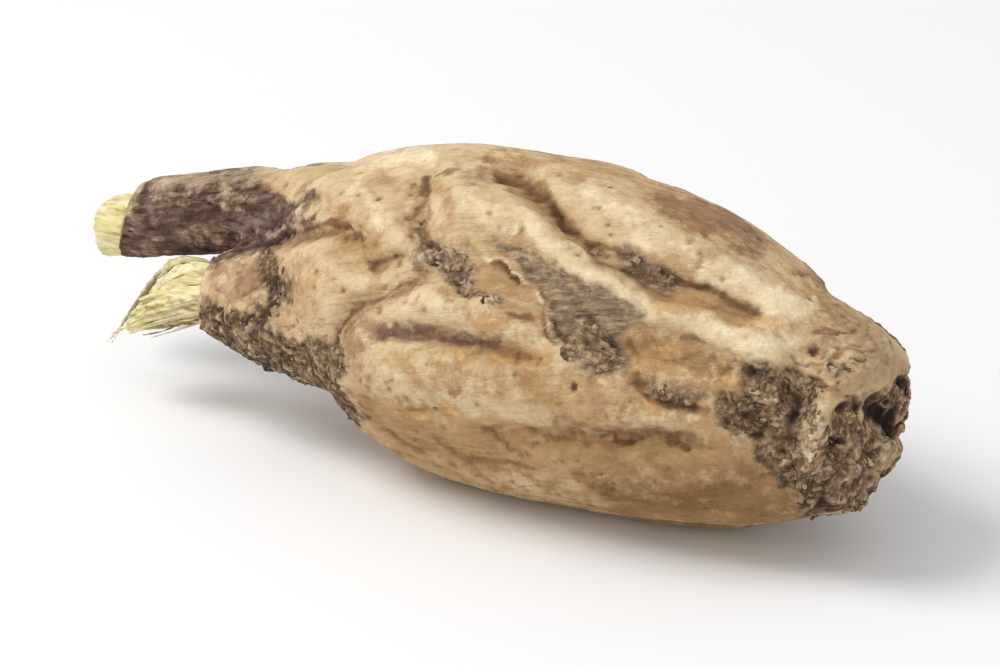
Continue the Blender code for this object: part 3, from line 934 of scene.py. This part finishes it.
for halfWidth, rise, path in forms:
    height += facing * rise * strokeAt(pixels, halfWidth, drawn(path))
# the cracks come and go along their length
broken = 0.35 + 0.5 * noiseAt(points, 2.2, 22)
for halfWidth, rise, path in creases:
    height += facing * broken * rise * strokeAt(pixels, halfWidth * relief["crackWidth"], drawn(path))
for halfWidth, rise, path in backCreases:
    height += hidden * broken * rise * strokeAt(around, halfWidth * relief["crackWidth"], backPath(path))

# small pits where rootlets broke off
tree = treeOf(points.tolist())
draw = random.Random(5)
pits = np.zeros(len(points))
for _ in range(relief["pits"]):
    middle = points[draw.randrange(len(points))]
    radius, depth = draw.uniform(0.28, 0.6), draw.uniform(0.3, 1.0)
    for place, i, away in tree.find_range(middle.tolist(), radius * 1.6):
        pits[i] = max(pits[i], depth * math.exp(-((away / radius) ** 2) * 2))
pits *= (1 - masks["blunt_end"]) * (1 - masks["bark"])
height -= relief["pitDepth"] * pits

offFloor = smoothStep(0.15, 1.2, points[:, 2])
points = points + normals * (height * offFloor)[:, None]
points = np.clip(points, boxLow + (0.1, 0, 0), boxHigh - (0.1, 0, 0))
setPoints(mesh, points)

# how deep each place lies under its surroundings
edges = np.empty(len(mesh.edges) * 2, np.int32)
mesh.edges.foreach_get("vertices", edges)
ends = np.concatenate([edges.reshape(-1, 2), edges.reshape(-1, 2)[:, ::-1]])
shares = np.bincount(ends[:, 0], minlength=len(points))


def softened(values, rounds):
    for _ in range(rounds):
        # each point moves halfway to the middle of its neighbours
        sums = [np.bincount(ends[:, 0], column[ends[:, 1]], len(points)) for column in values.T]
        values = 0.5 * values + 0.5 * np.stack(sums, axis=1) / shares[:, None]
    return values


normals = normalsOf(mesh)
nearby = softened(points, 8)
farther = softened(nearby, 60)
masks["fine_height"] = np.clip(0.5 + 3.0 * np.einsum("ij,ij->i", points - nearby, normals), 0, 1)
masks["height"] = np.clip(0.5 + 0.9 * np.einsum("ij,ij->i", points - farther, normals), 0, 1)
masks["pits"] = pits
print("relief raised")


def storeMask(mesh, name, values):
    layer = mesh.attributes.new(name, "FLOAT", "POINT")
    layer.data.foreach_set("value", values.astype(np.float32))


def storeGrain(mesh):
    layer = mesh.attributes.new("grain", "FLOAT_VECTOR", "POINT")
    layer.data.foreach_set("vector", twisted(pointsOf(mesh)).astype(np.float32).ravel())


for name, values in masks.items():
    storeMask(mesh, name, values)
storeGrain(mesh)
mesh.shade_smooth()


def toLinear(hexColour):
    channels = [int(hexColour[i : i + 2], 16) / 255 for i in (1, 3, 5)]
    return [c / 12.92 if c <= 0.04045 else ((c + 0.055) / 1.055) ** 2.4 for c in channels] + [1]


def addNode(tree, kind, inputs=None, stops=None, **settings):
    # one shader node with its settings, its links and, on a colour ramp, its stops
    node = tree.nodes.new("ShaderNode" + kind)
    for name, value in settings.items():
        setattr(node, name, value)
    for name, value in (inputs or {}).items():
        if isinstance(value, bpy.types.NodeSocket):
            tree.links.new(value, node.inputs[name])
        else:
            node.inputs[name].default_value = value
    for i, (place, hexColour) in enumerate(stops or []):
        element = node.color_ramp.elements[i] if i < 2 else node.color_ramp.elements.new(place)
        element.position = place
        element.color = toLinear(hexColour)
    return node


def newMaterial(name):
    material = bpy.data.materials.new(name)
    material.use_nodes = True
    tree = material.node_tree
    tree.nodes.clear()
    return material, tree


# Dried taproot: a thin wrinkled cork over starchy wood, air dried. It is dull and powdery, pale
# where the cork is rubbed off on the ridges, and grey to purple-brown where it stays in the furrows.
# Its colour also holds painted shade, darker in the hollows, underneath and low on the ridges' flanks,
# and painted highlight, paler on the raised places.
# Patterns: the coordinates, lump sizes in mm, detail, roughness and distortion
rootPatterns = {
    "mottle": ("grain", (9, 4.5, 4.5), 6, 0.62, 0),
    "blotch": ("grain", (3.6, 2.2, 2.2), 6, 0.62, 0),
    "grit": ("place", (2.2, 2.2, 2.2), 7, 0.7, 0),
    "streak": ("grain", (11, 1.1, 1.1), 5, 0.6, 0),
    "hairs": ("grain", (2.4, 0.36, 0.36), 4, 0.6, 0.6),
    "fleck": ("grain", (1.5, 0.5, 0.5), 3, 0.55, 0.3),
    "scuff": ("grain", (3.2, 0.7, 0.7), 4, 0.6, 0.4),
    "speck": ("place", (0.5, 0.5, 0.5), 4, 0.6, 0),
    "grains": ("place", (0.5, 0.5, 0.5), 4, 0.7, 0.3),
    "clumps": ("place", (1.7, 1.4, 1.4), 4, 0.65, 0.5),
    "barkLines": ("grain", (8, 0.6, 0.6), 5, 0.65, 0),
}
# Blends: the share of the second pattern, then the two
rootBlends = {
    "rubble": (0.58, "grains", "clumps"),
    # crumbs takes in fine_height, so the crusts are darker in the hollows between their lumps: painted shade
    "crumbs": (0.3, "rubble", "fine_height"),
    "fibrous": (0.5, "hairs", "rubble"),
    "barkGrain": (0.55, "barkLines", "grit"),
}
# Tints over the whole skin: what drives them, from and to which value, strength and colour
rootTints = [
    ("blotch", 0.5, 0.7, 0.55, "#D2AB84"),
    ("blotch", 0.47, 0.3, 0.5, "#DCC88E"),
    ("streak", 0.52, 0.7, 0.55, "#AC855A"),
    ("hairs", 0.54, 0.7, 0.2, "#B8956A"),
    ("grit", 0.54, 0.66, 0.5, "#A9845A"),
    ("scuff", 0.58, 0.7, 0.45, "#E8D6AE"),
    ("fleck", 0.61, 0.69, 0.45, "#8E6A42"),
    # the two tints on height are painted shade, darker in the hollows, and painted highlight, paler on the
    # raised places
    ("height", 0.46, 0.2, 0.75, "#94714C"),
    ("height", 0.54, 0.8, 0.6, "#E6D2AA"),
]
# Each finish: attribute, how ragged its edge is, strength, the pattern that drives its colours, then
# the colours at places on that pattern
rootFinishes = [
    # tan: the skin's own tan with painted shade on the lower flanks and low on the body
    ("tan_and_shade", 1.1, 0.9, "blotch", [(0.36, "#9E784C"), (0.64, "#BD9868")]),
    ("collar", 0.8, 0.92, "grit", [(0.37, "#A08466"), (0.5, "#CAAA82"), (0.63, "#DFC59B")]),
    # the underside's darker brown is painted shade
    ("underside_shade", 0.8, 0.9, "mottle", [(0.36, "#795932"), (0.64, "#A27C50")]),
    ("pink", 1.2, 0.85, "blotch", [(0.38, "#886247"), (0.62, "#AC8566")]),
    ("orange", 1.6, 0.8, "grit", [(0.36, "#966A3C"), (0.5, "#BC8E5A"), (0.64, "#D8B27C")]),
    ("pale", 0.9, 0.92, "blotch", [(0.38, "#E8D0A4"), (0.62, "#F8E8C4")]),
    ("lip", 0.5, 0.85, "blotch", [(0.38, "#A88A66"), (0.62, "#C6A882")]),
    ("grey", 0.9, 0.92, "fibrous", [(0.39, "#60503F"), (0.5, "#89755F"), (0.61, "#B99F80")]),
    ("purple", 0.9, 0.85, "grit", [(0.4, "#53362F"), (0.6, "#885D53")]),
    # furrows: their own brown, with painted shade in them
    ("furrow_brown_and_shade", 0.7, 0.85, "grit", [(0.38, "#5E4128"), (0.6, "#96714A")]),
    ("rust", 0.9, 0.9, "grit", [(0.38, "#663A22"), (0.62, "#A06C48")]),
    (
        "crust", 0.9, 0.97, "crumbs",
        [(0.38, "#3B2D21"), (0.47, "#65513C"), (0.54, "#8C7558"), (0.63, "#C0A782")],
    ),
    (
        "crumb", 1.0, 0.95, "crumbs",
        [(0.38, "#4E3E2E"), (0.47, "#86705A"), (0.54, "#B7A184"), (0.63, "#E2D0B0")],
    ),
    (
        "bark", 0.7, 1.0, "barkGrain",
        [(0.38, "#37261C"), (0.49, "#5E4638"), (0.56, "#7C6554"), (0.64, "#B29C86")],
    ),
    ("bark_grey", 0.9, 0.8, "barkGrain", [(0.4, "#56453F"), (0.56, "#8A756B")]),
    ("bark_top", 0.9, 0.85, "barkGrain", [(0.38, "#846F5B"), (0.6, "#C8AF91")]),
    ("blunt_end", 0.5, 1.0, "crumbs", [(0.38, "#3E2F22"), (0.5, "#7C614B"), (0.62, "#C2A586")]),
    ("end_light", 0.8, 0.9, "crumbs", [(0.38, "#79634A"), (0.5, "#AB926D"), (0.62, "#D8BF95")]),
    # painted shade in the holes and gaps
    ("hole_shade", 0.8, 0.85, "crumbs", [(0.38, "#1E150F"), (0.62, "#4E3C2D")]),
]


def makeRootSkin():
    material, tree = newMaterial("dry wrinkled root cork")
    place = addNode(tree, "TexCoord").outputs["Object"]
    inMm = addNode(tree, "VectorMath", {0: place, 1: (1000, 1000, 1000)}, operation="MULTIPLY")
    grain = addNode(tree, "Attribute", attribute_name="grain")
    sources = {"place": inMm.outputs[0], "grain": grain.outputs["Vector"]}
    values = {name: addNode(tree, "Attribute", attribute_name=name).outputs["Fac"] for name in masks}
    for name, (source, sizes, detail, roughness, distortion) in rootPatterns.items():
        inLumps = [1 / size for size in sizes]
        scaled = addNode(tree, "VectorMath", {0: sources[source], 1: inLumps}, operation="MULTIPLY")
        pattern = {"Vector": scaled.outputs[0], "Scale": 1}
        pattern |= {"Detail": detail, "Roughness": roughness, "Distortion": distortion}
        values[name] = addNode(tree, "TexNoise", pattern).outputs[0]
    for name, (share, first, second) in rootBlends.items():
        values[name] = addNode(tree, "Mix", {0: share, 2: values[first], 3: values[second]}).outputs[0]
    colour = addNode(
        tree, "ValToRGB", {0: values["mottle"]},
        stops=[(0.3, "#AA845A"), (0.43, "#C2A278"), (0.54, "#CFB48A"), (0.7, "#D8C198")],
    ).outputs[0]
    for source, low, high, strength, tint in rootTints:
        share = addNode(tree, "MapRange", {0: values[source], 1: low, 2: high, 4: strength}).outputs[0]
        colour = addNode(tree, "Mix", {0: share, 6: colour, 7: toLinear(tint)}, data_type="RGBA").outputs[2]
    for name, raggedness, strength, pattern, stops in rootFinishes:
        ragged = {0: values["grit"], 1: 0.3, 2: 0.7, 3: -raggedness / 2, 4: raggedness / 2}
        ragged = addNode(tree, "MapRange", ragged).outputs[0]
        edge = addNode(tree, "Math", {0: values[name], 1: ragged}, operation="ADD").outputs[0]
        share = addNode(tree, "MapRange", {0: edge, 1: 0.2, 2: 0.75, 4: strength}).outputs[0]
        # no finish where its mask is nothing, however ragged its edge
        there = addNode(tree, "MapRange", {0: values[name], 1: 0.02, 2: 0.25}).outputs[0]
        share = addNode(tree, "Math", {0: share, 1: there}, operation="MULTIPLY").outputs[0]
        tint = addNode(tree, "ValToRGB", {0: values[pattern]}, stops=stops).outputs[0]
        colour = addNode(tree, "Mix", {0: share, 6: colour, 7: tint}, data_type="RGBA").outputs[2]
    crumbly = values["crust"]
    for name in ("blunt_end", "crumb"):
        crumbly = addNode(tree, "Math", {0: crumbly, 1: values[name]}, operation="MAXIMUM").outputs[0]
    # painted shade in the small hollows, less where the crumbs have their own shades
    hollow = addNode(tree, "MapRange", {0: values["fine_height"], 1: 0.46, 2: 0.1}).outputs[0]
    plain = addNode(tree, "MapRange", {0: crumbly, 3: 0.6, 4: 0.3}).outputs[0]
    share = addNode(tree, "Math", {0: hollow, 1: plain}, operation="MULTIPLY").outputs[0]
    hollowShade = {0: share, 6: colour, 7: toLinear("#5A4430")}
    colour = addNode(tree, "Mix", hollowShade, data_type="RGBA", blend_type="MULTIPLY").outputs[2]
    share = addNode(tree, "MapRange", {0: values["pits"], 4: 0.7}).outputs[0]
    colour = addNode(tree, "Mix", {0: share, 6: colour, 7: toLinear("#86643F")}, data_type="RGBA").outputs[2]
    powder = addNode(tree, "MapRange", {0: values["speck"], 1: 0.3, 2: 0.7, 3: 0.9, 4: 1.1}).outputs[0]
    colour = addNode(tree, "VectorMath", {0: colour, 1: powder}, operation="MULTIPLY").outputs[0]
    rubble = addNode(tree, "Math", {0: values["rubble"], 1: crumbly}, operation="MULTIPLY").outputs[0]
    heights = addNode(tree, "Math", {0: values["streak"], 1: values["grit"]}, operation="ADD").outputs[0]
    for source, share in ((values["hairs"], 0.6), (rubble, 2.5)):
        added = {0: source, 1: share, 2: heights}
        heights = addNode(tree, "Math", added, operation="MULTIPLY_ADD").outputs[0]
    bump = addNode(tree, "Bump", {"Strength": 0.7, "Distance": 0.0004, "Height": heights}).outputs[0]
    roughness = addNode(tree, "MapRange", {0: values["grit"], 3: 0.7, 4: 0.95}).outputs[0]
    cork = {"Base Color": colour, "Roughness": roughness, "IOR": 1.45, "Specular IOR Level": 0.3}
    shader = addNode(tree, "BsdfPrincipled", cork | {"Normal": bump})
    addNode(tree, "OutputMaterial", {"Surface": shader.outputs[0]})
    return material


mesh.materials.clear()
mesh.materials.append(makeRootSkin())
print("skin finished")
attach(skin, "root")
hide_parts("white_behen_root")

# Crumbled bark on the crusts and the blunt end: lumps and flakes that have grown into one another
crumbs = {
    "count": 4600,
    "length": (0.45, 1.9),  # mm
    "width": (0.26, 0.55),  # of the length
    "thickness": (0.2, 0.36),  # of the length
    "sunk": 0.12,  # of the length
    "curl": 0.5,  # how far a flake's ends bend down or up, in lengths
    "least": 0.55,  # where the finishes are weaker, there are none
    # no crumbs in the painted shade of the holes
    "weights": {"crust": 1.0, "crumb": 1.1, "blunt_end": 0.9, "collar": 0.1, "hole_shade": -1.2},
    "voxel": 0.135,  # mm
    "smoothing": 2,
    "triangles": 190000,
}


def makeLump(number):
    # one irregular lump, about 1 long in each direction
    bpy.ops.object.select_all(action="DESELECT")
    bpy.ops.mesh.primitive_ico_sphere_add(subdivisions=2, radius=0.5)
    lump = bpy.context.object
    shape = np.array([vertex.co[:] for vertex in lump.data.vertices])
    faces = np.array([face.vertices[:] for face in lump.data.polygons])
    bpy.data.objects.remove(lump)
    return shape * (1 + 0.9 * noiseAt(shape, 0.5, 40 + number))[:, None], faces


def makeCrumbs():
    rng = np.random.default_rng(8)
    lumps = [makeLump(number) for number in range(6)]
    weight = sum(share * masks[name] for name, share in crumbs["weights"].items())
    weight = np.clip(weight - crumbs["least"], 0, 0.4) * smoothStep(0.4, 1.5, points[:, 2])
    chosen = rng.choice(len(points), crumbs["count"], replace=False, p=weight / weight.sum())
    places, faces = [], []
    for i, number in enumerate(chosen):
        shape, sides = lumps[i % len(lumps)]
        length = rng.triangular(crumbs["length"][0], crumbs["length"][0], crumbs["length"][1])
        sizes = length * np.array((1, rng.uniform(*crumbs["width"]), rng.uniform(*crumbs["thickness"])))
        up = normals[number] + rng.normal(0, 0.22, 3)
        up /= np.linalg.norm(up)
        across = np.cross(up, rng.normal(0, 1, 3))
        across /= np.linalg.norm(across)
        curled = shape * sizes
        curled[:, 2] += rng.uniform(-crumbs["curl"], 0.5 * crumbs["curl"]) * length * shape[:, 0] ** 2 * 2
        lump = curled @ np.array((across, np.cross(up, across), up))
        places.append(points[number] - normals[number] * crumbs["sunk"] * length + lump)
        faces.append(sides + i * len(shape))
    mesh = bpy.data.meshes.new("bark_crumbs")
    mesh.from_pydata(np.concatenate(places) * mm, [], np.concatenate(faces).tolist())
    piece = bpy.data.objects.new("bark_crumbs", mesh)
    bpy.context.collection.objects.link(piece)
    applyModifier(piece, "REMESH", mode="VOXEL", voxel_size=crumbs["voxel"] * mm)
    applyModifier(piece, "SMOOTH", factor=0.5, iterations=crumbs["smoothing"])
    applyModifier(piece, "DECIMATE", ratio=min(1, crumbs["triangles"] / (2 * len(piece.data.polygons))))
    # how far each place stands above the skin, for its colour: painted shade low down and painted highlight
    # on top
    mesh, made = piece.data, pointsOf(piece.data)
    found = [tree.find(place)[1] for place in made.tolist()]
    rise = np.einsum("ij,ij->i", made - points[found], normals[found])
    setPoints(mesh, np.clip(made, boxLow, boxHigh))
    storeMask(mesh, "rise", np.clip(0.3 + rise / 0.45, 0, 1))
    worn = masks["crumb"] + 0.7 * masks["end_light"] + 0.25 * masks["blunt_end"] - 0.6 * onNecks
    storeMask(mesh, "worn", worn[found])
    return piece


# Crumbled bark: dry, earthy and dull. It is pale tan on the tops of the crumbs and dark brown between
# them: painted highlight on the tops and painted shade between, set by how far each place stands up.
def makeCrumbFinish():
    material, nodes = newMaterial("dry crumbled bark")
    place = addNode(nodes, "TexCoord").outputs["Object"]
    rise = addNode(nodes, "Attribute", attribute_name="rise").outputs["Fac"]
    worn = addNode(nodes, "Attribute", attribute_name="worn").outputs["Fac"]
    grit = addNode(nodes, "TexNoise", {"Vector": place, "Scale": 1000 / 0.45, "Detail": 5, "Roughness": 0.7})
    patchy = addNode(nodes, "TexNoise", {"Vector": place, "Scale": 1000 / 2.2, "Detail": 4, "Roughness": 0.6})
    shade = addNode(nodes, "MapRange", {0: grit.outputs[0], 1: 0.3, 2: 0.7, 3: -0.3, 4: 0.3}).outputs[0]
    broad = addNode(nodes, "MapRange", {0: patchy.outputs[0], 1: 0.3, 2: 0.7, 3: -0.35, 4: 0.35}).outputs[0]
    level = addNode(nodes, "Math", {0: shade, 1: broad}, operation="ADD").outputs[0]
    # rise gives painted shade low between the crumbs and painted highlight on their tops
    for source, share in ((rise, 0.55), (worn, 0.2)):
        level = addNode(nodes, "Math", {0: source, 1: share, 2: level}, operation="MULTIPLY_ADD").outputs[0]
    colour = addNode(
        nodes, "ValToRGB", {0: level},
        stops=[(0.02, "#453527"), (0.27, "#755E47"), (0.52, "#A48A6C"), (0.92, "#CFB993")],
    ).outputs[0]
    bump = addNode(nodes, "Bump", {"Strength": 0.6, "Distance": 0.00015, "Height": grit.outputs[0]})
    crumb = {"Base Color": colour, "Roughness": 0.9, "IOR": 1.45, "Specular IOR Level": 0.25}
    shader = addNode(nodes, "BsdfPrincipled", crumb | {"Normal": bump.outputs[0]})
    addNode(nodes, "OutputMaterial", {"Surface": shader.outputs[0]})
    return material


# the skin has moved since its places were looked up for the pits
tree = treeOf(points.tolist())
barkCrumbs = makeCrumbs()
barkCrumbs.data.materials.append(makeCrumbFinish())
barkCrumbs.data.shade_smooth()
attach(barkCrumbs, "root")
print("crumbs scattered:", len(barkCrumbs.data.polygons), "faces")

# The bare wood: the sawn end of the long neck and the torn tongue of the short one
woodShape = {
    "voxel": 0.16,  # mm
    "setIn": 2.1,  # mm from the bark's end to the cut
    "root": 3.6,  # mm that the wood runs back from the cut, into the bark
    "taper": 0.96,  # of the wood's width at the end of its root
    "cutReach": 3,  # mm behind the cut that the wood is taken from
    "smoothing": 4,
    "grain": (0.1, (4.0, 0.45, 0.45)),  # height and lump sizes in mm
}


def makeWood(name, cut, side, lean, tip=None):
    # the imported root's own wood, cut free beyond the bark and pushed a little into it
    place, direction = Vector(cut[0]), Vector(cut[1])
    place += direction * woodShape["setIn"]
    piece = copyRoot(name)
    for face in piece.data.polygons:
        centre = face.center / mm
        face.select = not (centre.x < place.x + woodShape["cutReach"] and side(*centre))
    bpy.ops.object.mode_set(mode="EDIT")
    bpy.ops.mesh.delete(type="FACE")
    bpy.ops.mesh.select_all(action="SELECT")
    bpy.ops.mesh.bisect(plane_co=place * mm, plane_no=-direction, use_fill=True, clear_outer=True)
    bpy.ops.object.mode_set(mode="OBJECT")
    for face in piece.data.polygons:
        onCut = abs((face.center / mm - place) @ direction) < 0.05
        face.select = onCut and -face.normal @ direction > 0.99
    bpy.ops.object.mode_set(mode="EDIT")
    inwards = Vector((1, *lean)) * woodShape["root"] * mm
    bpy.ops.mesh.extrude_region_move(TRANSFORM_OT_translate={"value": inwards})
    bpy.ops.transform.resize(value=[woodShape["taper"]] * 3)
    if tip:
        bpy.ops.mesh.select_all(action="SELECT")
        bpy.ops.mesh.bisect(plane_co=Vector(tip[0]) * mm, plane_no=tip[1], use_fill=True, clear_outer=True)
    bpy.ops.object.mode_set(mode="OBJECT")
    applyModifier(piece, "REMESH", mode="VOXEL", voxel_size=woodShape["voxel"] * mm)
    applyModifier(piece, "SMOOTH", factor=0.5, iterations=woodShape["smoothing"])
    size, lumps = woodShape["grain"]
    points = pointsOf(piece.data)
    height = size * (noiseAt(points, lumps, 31) - ridgesAt(points, lumps, 32) ** 2)
    setPoints(piece.data, np.clip(points + normalsOf(piece.data) * height[:, None], boxLow, boxHigh))
    storeMask(piece.data, "tone", np.full(len(points), 0.5))
    return piece


# Torn fibres of the short neck's wood. Strands: y in mm, thickness in mm, tone from 0 for dark to 1 for
# pale, then photograph pixels from the sunk root to the tip
fibres = {
    "strands": [
        (-6.8, 0.75, 0.55, "118,300 110,301 95,303 80,305 71,308"),
        (-7.2, 0.8, 0.75, "118,303 110,304 95,307 80,310 69,313"),
        (-7.4, 0.7, 0.4, "118,306 110,307 94,311 78,315 67,318"),
        (-7.2, 0.85, 0.65, "118,309 110,310 94,314 78,318 66,323"),
        (-6.8, 0.75, 0.5, "118,312 110,313 95,317 80,321 68,326"),
        (-5.4, 0.9, 0.8, "118,298 108,297 94,299 81,304 72,311"),
        (-4.6, 0.8, 0.6, "118,294 106,292 94,294 83,301 74,308"),
        (-4.2, 0.7, 0.85, "118,291 105,289 93,291 84,297 77,304"),
        (-3.6, 0.6, 0.45, "118,289 106,286.5 96,286 88,290 80,298"),
        (-3.2, 0.5, 0.3, "116,290 104,285 92,285 82,293 73,304 66,315 60,325 56,332"),
        (-3.0, 0.42, 0.25, "116,291 104,286 91,287 81,296 73,306 67,315 63,321"),
        # the two thin darkest strands along the underside are a dark strip of bark and painted shade on the
        # tongue's underside
        (-6.6, 0.3, 0.02, "114,317 106,319 94,321.5 84,325.5 73,327.5"),
        (-6.2, 0.28, 0.0, "114,318 104,320 94,322.5 86,325.5"),
        (-5.6, 0.7, 0.35, "118,315 108,317 96,320 82,323 71,325"),
        (-3.4, 0.7, 0.4, "118,304 106,303 92,304 80,309 72,315"),
        (-2.6, 0.6, 0.4, "118,310 106,309 92,311 80,316 73,321"),
    ],
    "steps": 10,
    "voxel": 0.12,  # mm
    "grain": (0.12, (2.5, 0.4, 0.4)),
    "hairs": 2,  # fine hairs beside each strand
    "hairThickness": 0.3,  # of the strand's
    "hairSpread": 0.42,  # mm
}


def makeFibre(name, path, thickness, tone):
    # one splinter: a curve with a tapering round section, made a mesh
    curve = bpy.data.curves.new(name, "CURVE")
    curve.dimensions = "3D"
    curve.bevel_depth = thickness / 2 * mm
    curve.bevel_resolution = 2
    curve.use_fill_caps = True
    spline = curve.splines.new("POLY")
    spline.points.add(fibres["steps"] - 1)
    for step, point in enumerate(spline.points):
        share = step / (fibres["steps"] - 1)
        point.co = (*(path[round(share * (len(path) - 1))] * mm), 1)
        point.radius = 1 - 0.7 * share**2
    piece = bpy.data.objects.new(name, curve)
    bpy.context.collection.objects.link(piece)
    makeActive(piece)
    bpy.ops.object.convert(target="MESH")
    piece = bpy.context.object
    storeMask(piece.data, "tone", np.full(len(piece.data.vertices), tone))
    return piece


def joinPieces(pieces, name):
    bpy.ops.object.select_all(action="DESELECT")
    for piece in pieces:
        piece.select_set(True)
    bpy.context.view_layer.objects.active = pieces[0]
    bpy.ops.object.join()
    pieces[0].name = name
    return pieces[0]


def makeFibres():
    rng = np.random.default_rng(11)
    strands, hairs = [], []
    for y, thickness, tone, pixels in fibres["strands"]:
        path = smoothPath([fromPhoto(pixel, y) for pixel in drawn(pixels)])
        strands.append(makeFibre("strand", path, thickness, tone))
        for _ in range(fibres["hairs"]):
            # a hair leaves the strand slowly and stops short of its tip or runs past it
            lean = rng.normal(0, fibres["hairSpread"], 3) * np.linspace(0.4, 1.3, len(path))[:, None]
            reach = int(len(path) * rng.uniform(0.55, 1.0))
            fine = thickness * fibres["hairThickness"]
            hairs.append(makeFibre("hair", (path + lean)[:reach], fine, tone + rng.uniform(-0.25, 0.35)))
    torn = joinPieces(strands, "torn_fibres")
    # the strands run into one another, as torn wood does, and keep their tones
    before = treeOf([vertex.co for vertex in torn.data.vertices])
    tones = [value.value for value in torn.data.attributes["tone"].data]
    applyModifier(torn, "REMESH", mode="VOXEL", voxel_size=fibres["voxel"] * mm)
    applyModifier(torn, "SMOOTH", factor=0.5, iterations=2)
    size, lumps = fibres["grain"]
    points = pointsOf(torn.data)
    setPoints(torn.data, points + normalsOf(torn.data) * (size * noiseAt(points, lumps, 33))[:, None])
    kept = [tones[before.find(vertex.co)[1]] for vertex in torn.data.vertices]
    storeMask(torn.data, "tone", np.array(kept))
    return joinPieces([torn, *hairs], "torn_fibres")


# Bare root wood: pale, dry and stringy, a little green where it was cut young. The fibres give
# long fine streaks and a faint sheen along the grain.
def makeWoodFinish():
    material, tree = newMaterial("torn pale root wood")
    place = addNode(tree, "TexCoord").outputs["Object"]
    inStreaks = (1000 / 5, 1000 / 0.5, 1000 / 0.5)
    along = addNode(tree, "VectorMath", {0: place, 1: inStreaks}, operation="MULTIPLY").outputs[0]
    streak = addNode(tree, "TexNoise", {"Vector": along, "Scale": 1, "Detail": 5, "Roughness": 0.6})
    blotch = addNode(tree, "TexNoise", {"Vector": place, "Scale": 1000 / 2.4, "Detail": 4})
    straw = addNode(
        tree, "ValToRGB", {0: streak.outputs[0]},
        stops=[(0.32, "#A08A58"), (0.44, "#D4C288"), (0.56, "#E8DBA8"), (0.7, "#F6EFD4")],
    )
    tone = addNode(tree, "Attribute", attribute_name="tone").outputs["Fac"]
    darker = addNode(tree, "MapRange", {0: tone, 1: 0.5, 2: 0.0, 4: 0.85})
    paler = addNode(tree, "MapRange", {0: tone, 1: 0.5, 2: 1.0, 4: 0.6})
    stain = addNode(tree, "MapRange", {0: blotch.outputs[0], 1: 0.56, 2: 0.72, 4: 0.55})
    green = addNode(tree, "MapRange", {0: blotch.outputs[0], 1: 0.5, 2: 0.36, 4: 0.6})
    colour = straw.outputs[0]
    for share, tint in ((stain, "#B99868"), (green, "#D3CE80"), (darker, "#6A5A3C"), (paler, "#F6EED4")):
        tints = {0: share.outputs[0], 6: colour, 7: toLinear(tint)}
        colour = addNode(tree, "Mix", tints, data_type="RGBA").outputs[2]
    bump = addNode(tree, "Bump", {"Strength": 0.5, "Distance": 0.0003, "Height": streak.outputs[0]})
    wood = {"Base Color": colour, "Roughness": 0.62, "IOR": 1.45, "Normal": bump.outputs[0]}
    shader = addNode(tree, "BsdfPrincipled", wood)
    addNode(tree, "OutputMaterial", {"Surface": shader.outputs[0]})
    return material


woods = [
    makeWood(
        "long_neck_wood", skinShape["longNeckCut"], onLongNeck, relief["longNeckLean"],
        tip=((-42.8, 3.0, 12.2), (-0.97, -0.2, -0.12)),
    ),
    makeWood("short_neck_wood", skinShape["shortNeckCut"], onShortNeck, relief["shortNeckLean"]),
    makeFibres(),
]
woodFinish = makeWoodFinish()
for piece in woods:
    piece.data.materials.clear()
    piece.data.materials.append(woodFinish)
    piece.data.shade_smooth()
    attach(piece, "root")
print("wood and fibres:", sum(len(piece.data.vertices) for piece in woods), "points")

# The studio: a pale floor, soft white light from above and the photograph's angle
studio = {
    "floor": 3.0,  # m
    "floorColour": "#F5F5F6",
    "sky": 0.62,
    "key": {"place": (-0.28, -0.22, 0.5), "size": 0.3, "power": 2.3},
    "fill": {"place": (0.5, -0.4, 0.3), "size": 0.5, "power": 0.5},
    "frameShare": 0.8,  # of the picture's width that the root takes
}


def makeFloor():
    bpy.ops.object.select_all(action="DESELECT")
    bpy.ops.mesh.primitive_plane_add(size=studio["floor"], location=(0, 0, -0.0001))
    floor = bpy.context.object
    floor.name = "floor"
    material, tree = newMaterial("pale painted floor")
    paint = toLinear(studio["floorColour"])
    shader = addNode(tree, "BsdfPrincipled", {"Base Color": paint, "Roughness": 0.9})
    addNode(tree, "OutputMaterial", {"Surface": shader.outputs[0]})
    floor.data.materials.append(material)


def makeLight(name, place, size, power):
    light = bpy.data.objects.new(name, bpy.data.lights.new(name, "AREA"))
    light.data.size = size
    light.data.energy = power
    light.location = place
    light.rotation_euler = (Vector((0, 0, 0.015)) - Vector(place)).to_track_quat("-Z", "Y").to_euler()
    bpy.context.collection.objects.link(light)


def makeCamera():
    right, up, back = (Vector(axis) for axis in viewAxes())
    corners = pointsOf(mesh) * mm
    middle = Vector()
    for axis in (right, up, back):
        reach = corners @ np.array(axis)
        middle += axis * float(reach.min() + reach.max()) / 2
    camera = bpy.data.objects.new("camera", bpy.data.cameras.new("camera"))
    width = float(np.ptp(corners @ np.array(right)))
    distance = photo["distance"] * mm
    camera.data.sensor_width = 36
    camera.data.lens = 36 * distance * studio["frameShare"] / width
    camera.data.clip_start = 0.01
    camera.location = middle + back * distance
    camera.rotation_euler = (-back).to_track_quat("-Z", "Y").to_euler()
    bpy.context.collection.objects.link(camera)
    bpy.context.scene.camera = camera


def makeSky():
    world = bpy.data.worlds.new("studio")
    world.use_nodes = True
    sky = world.node_tree.nodes["Background"]
    sky.inputs[0].default_value = (1, 1, 1, 1)
    sky.inputs[1].default_value = studio["sky"]
    bpy.context.scene.world = world
    bpy.context.scene.view_settings.view_transform = "Standard"


makeFloor()
makeLight("key", **studio["key"])
makeLight("fill", **studio["fill"])
makeSky()
makeCamera()
print("studio set")
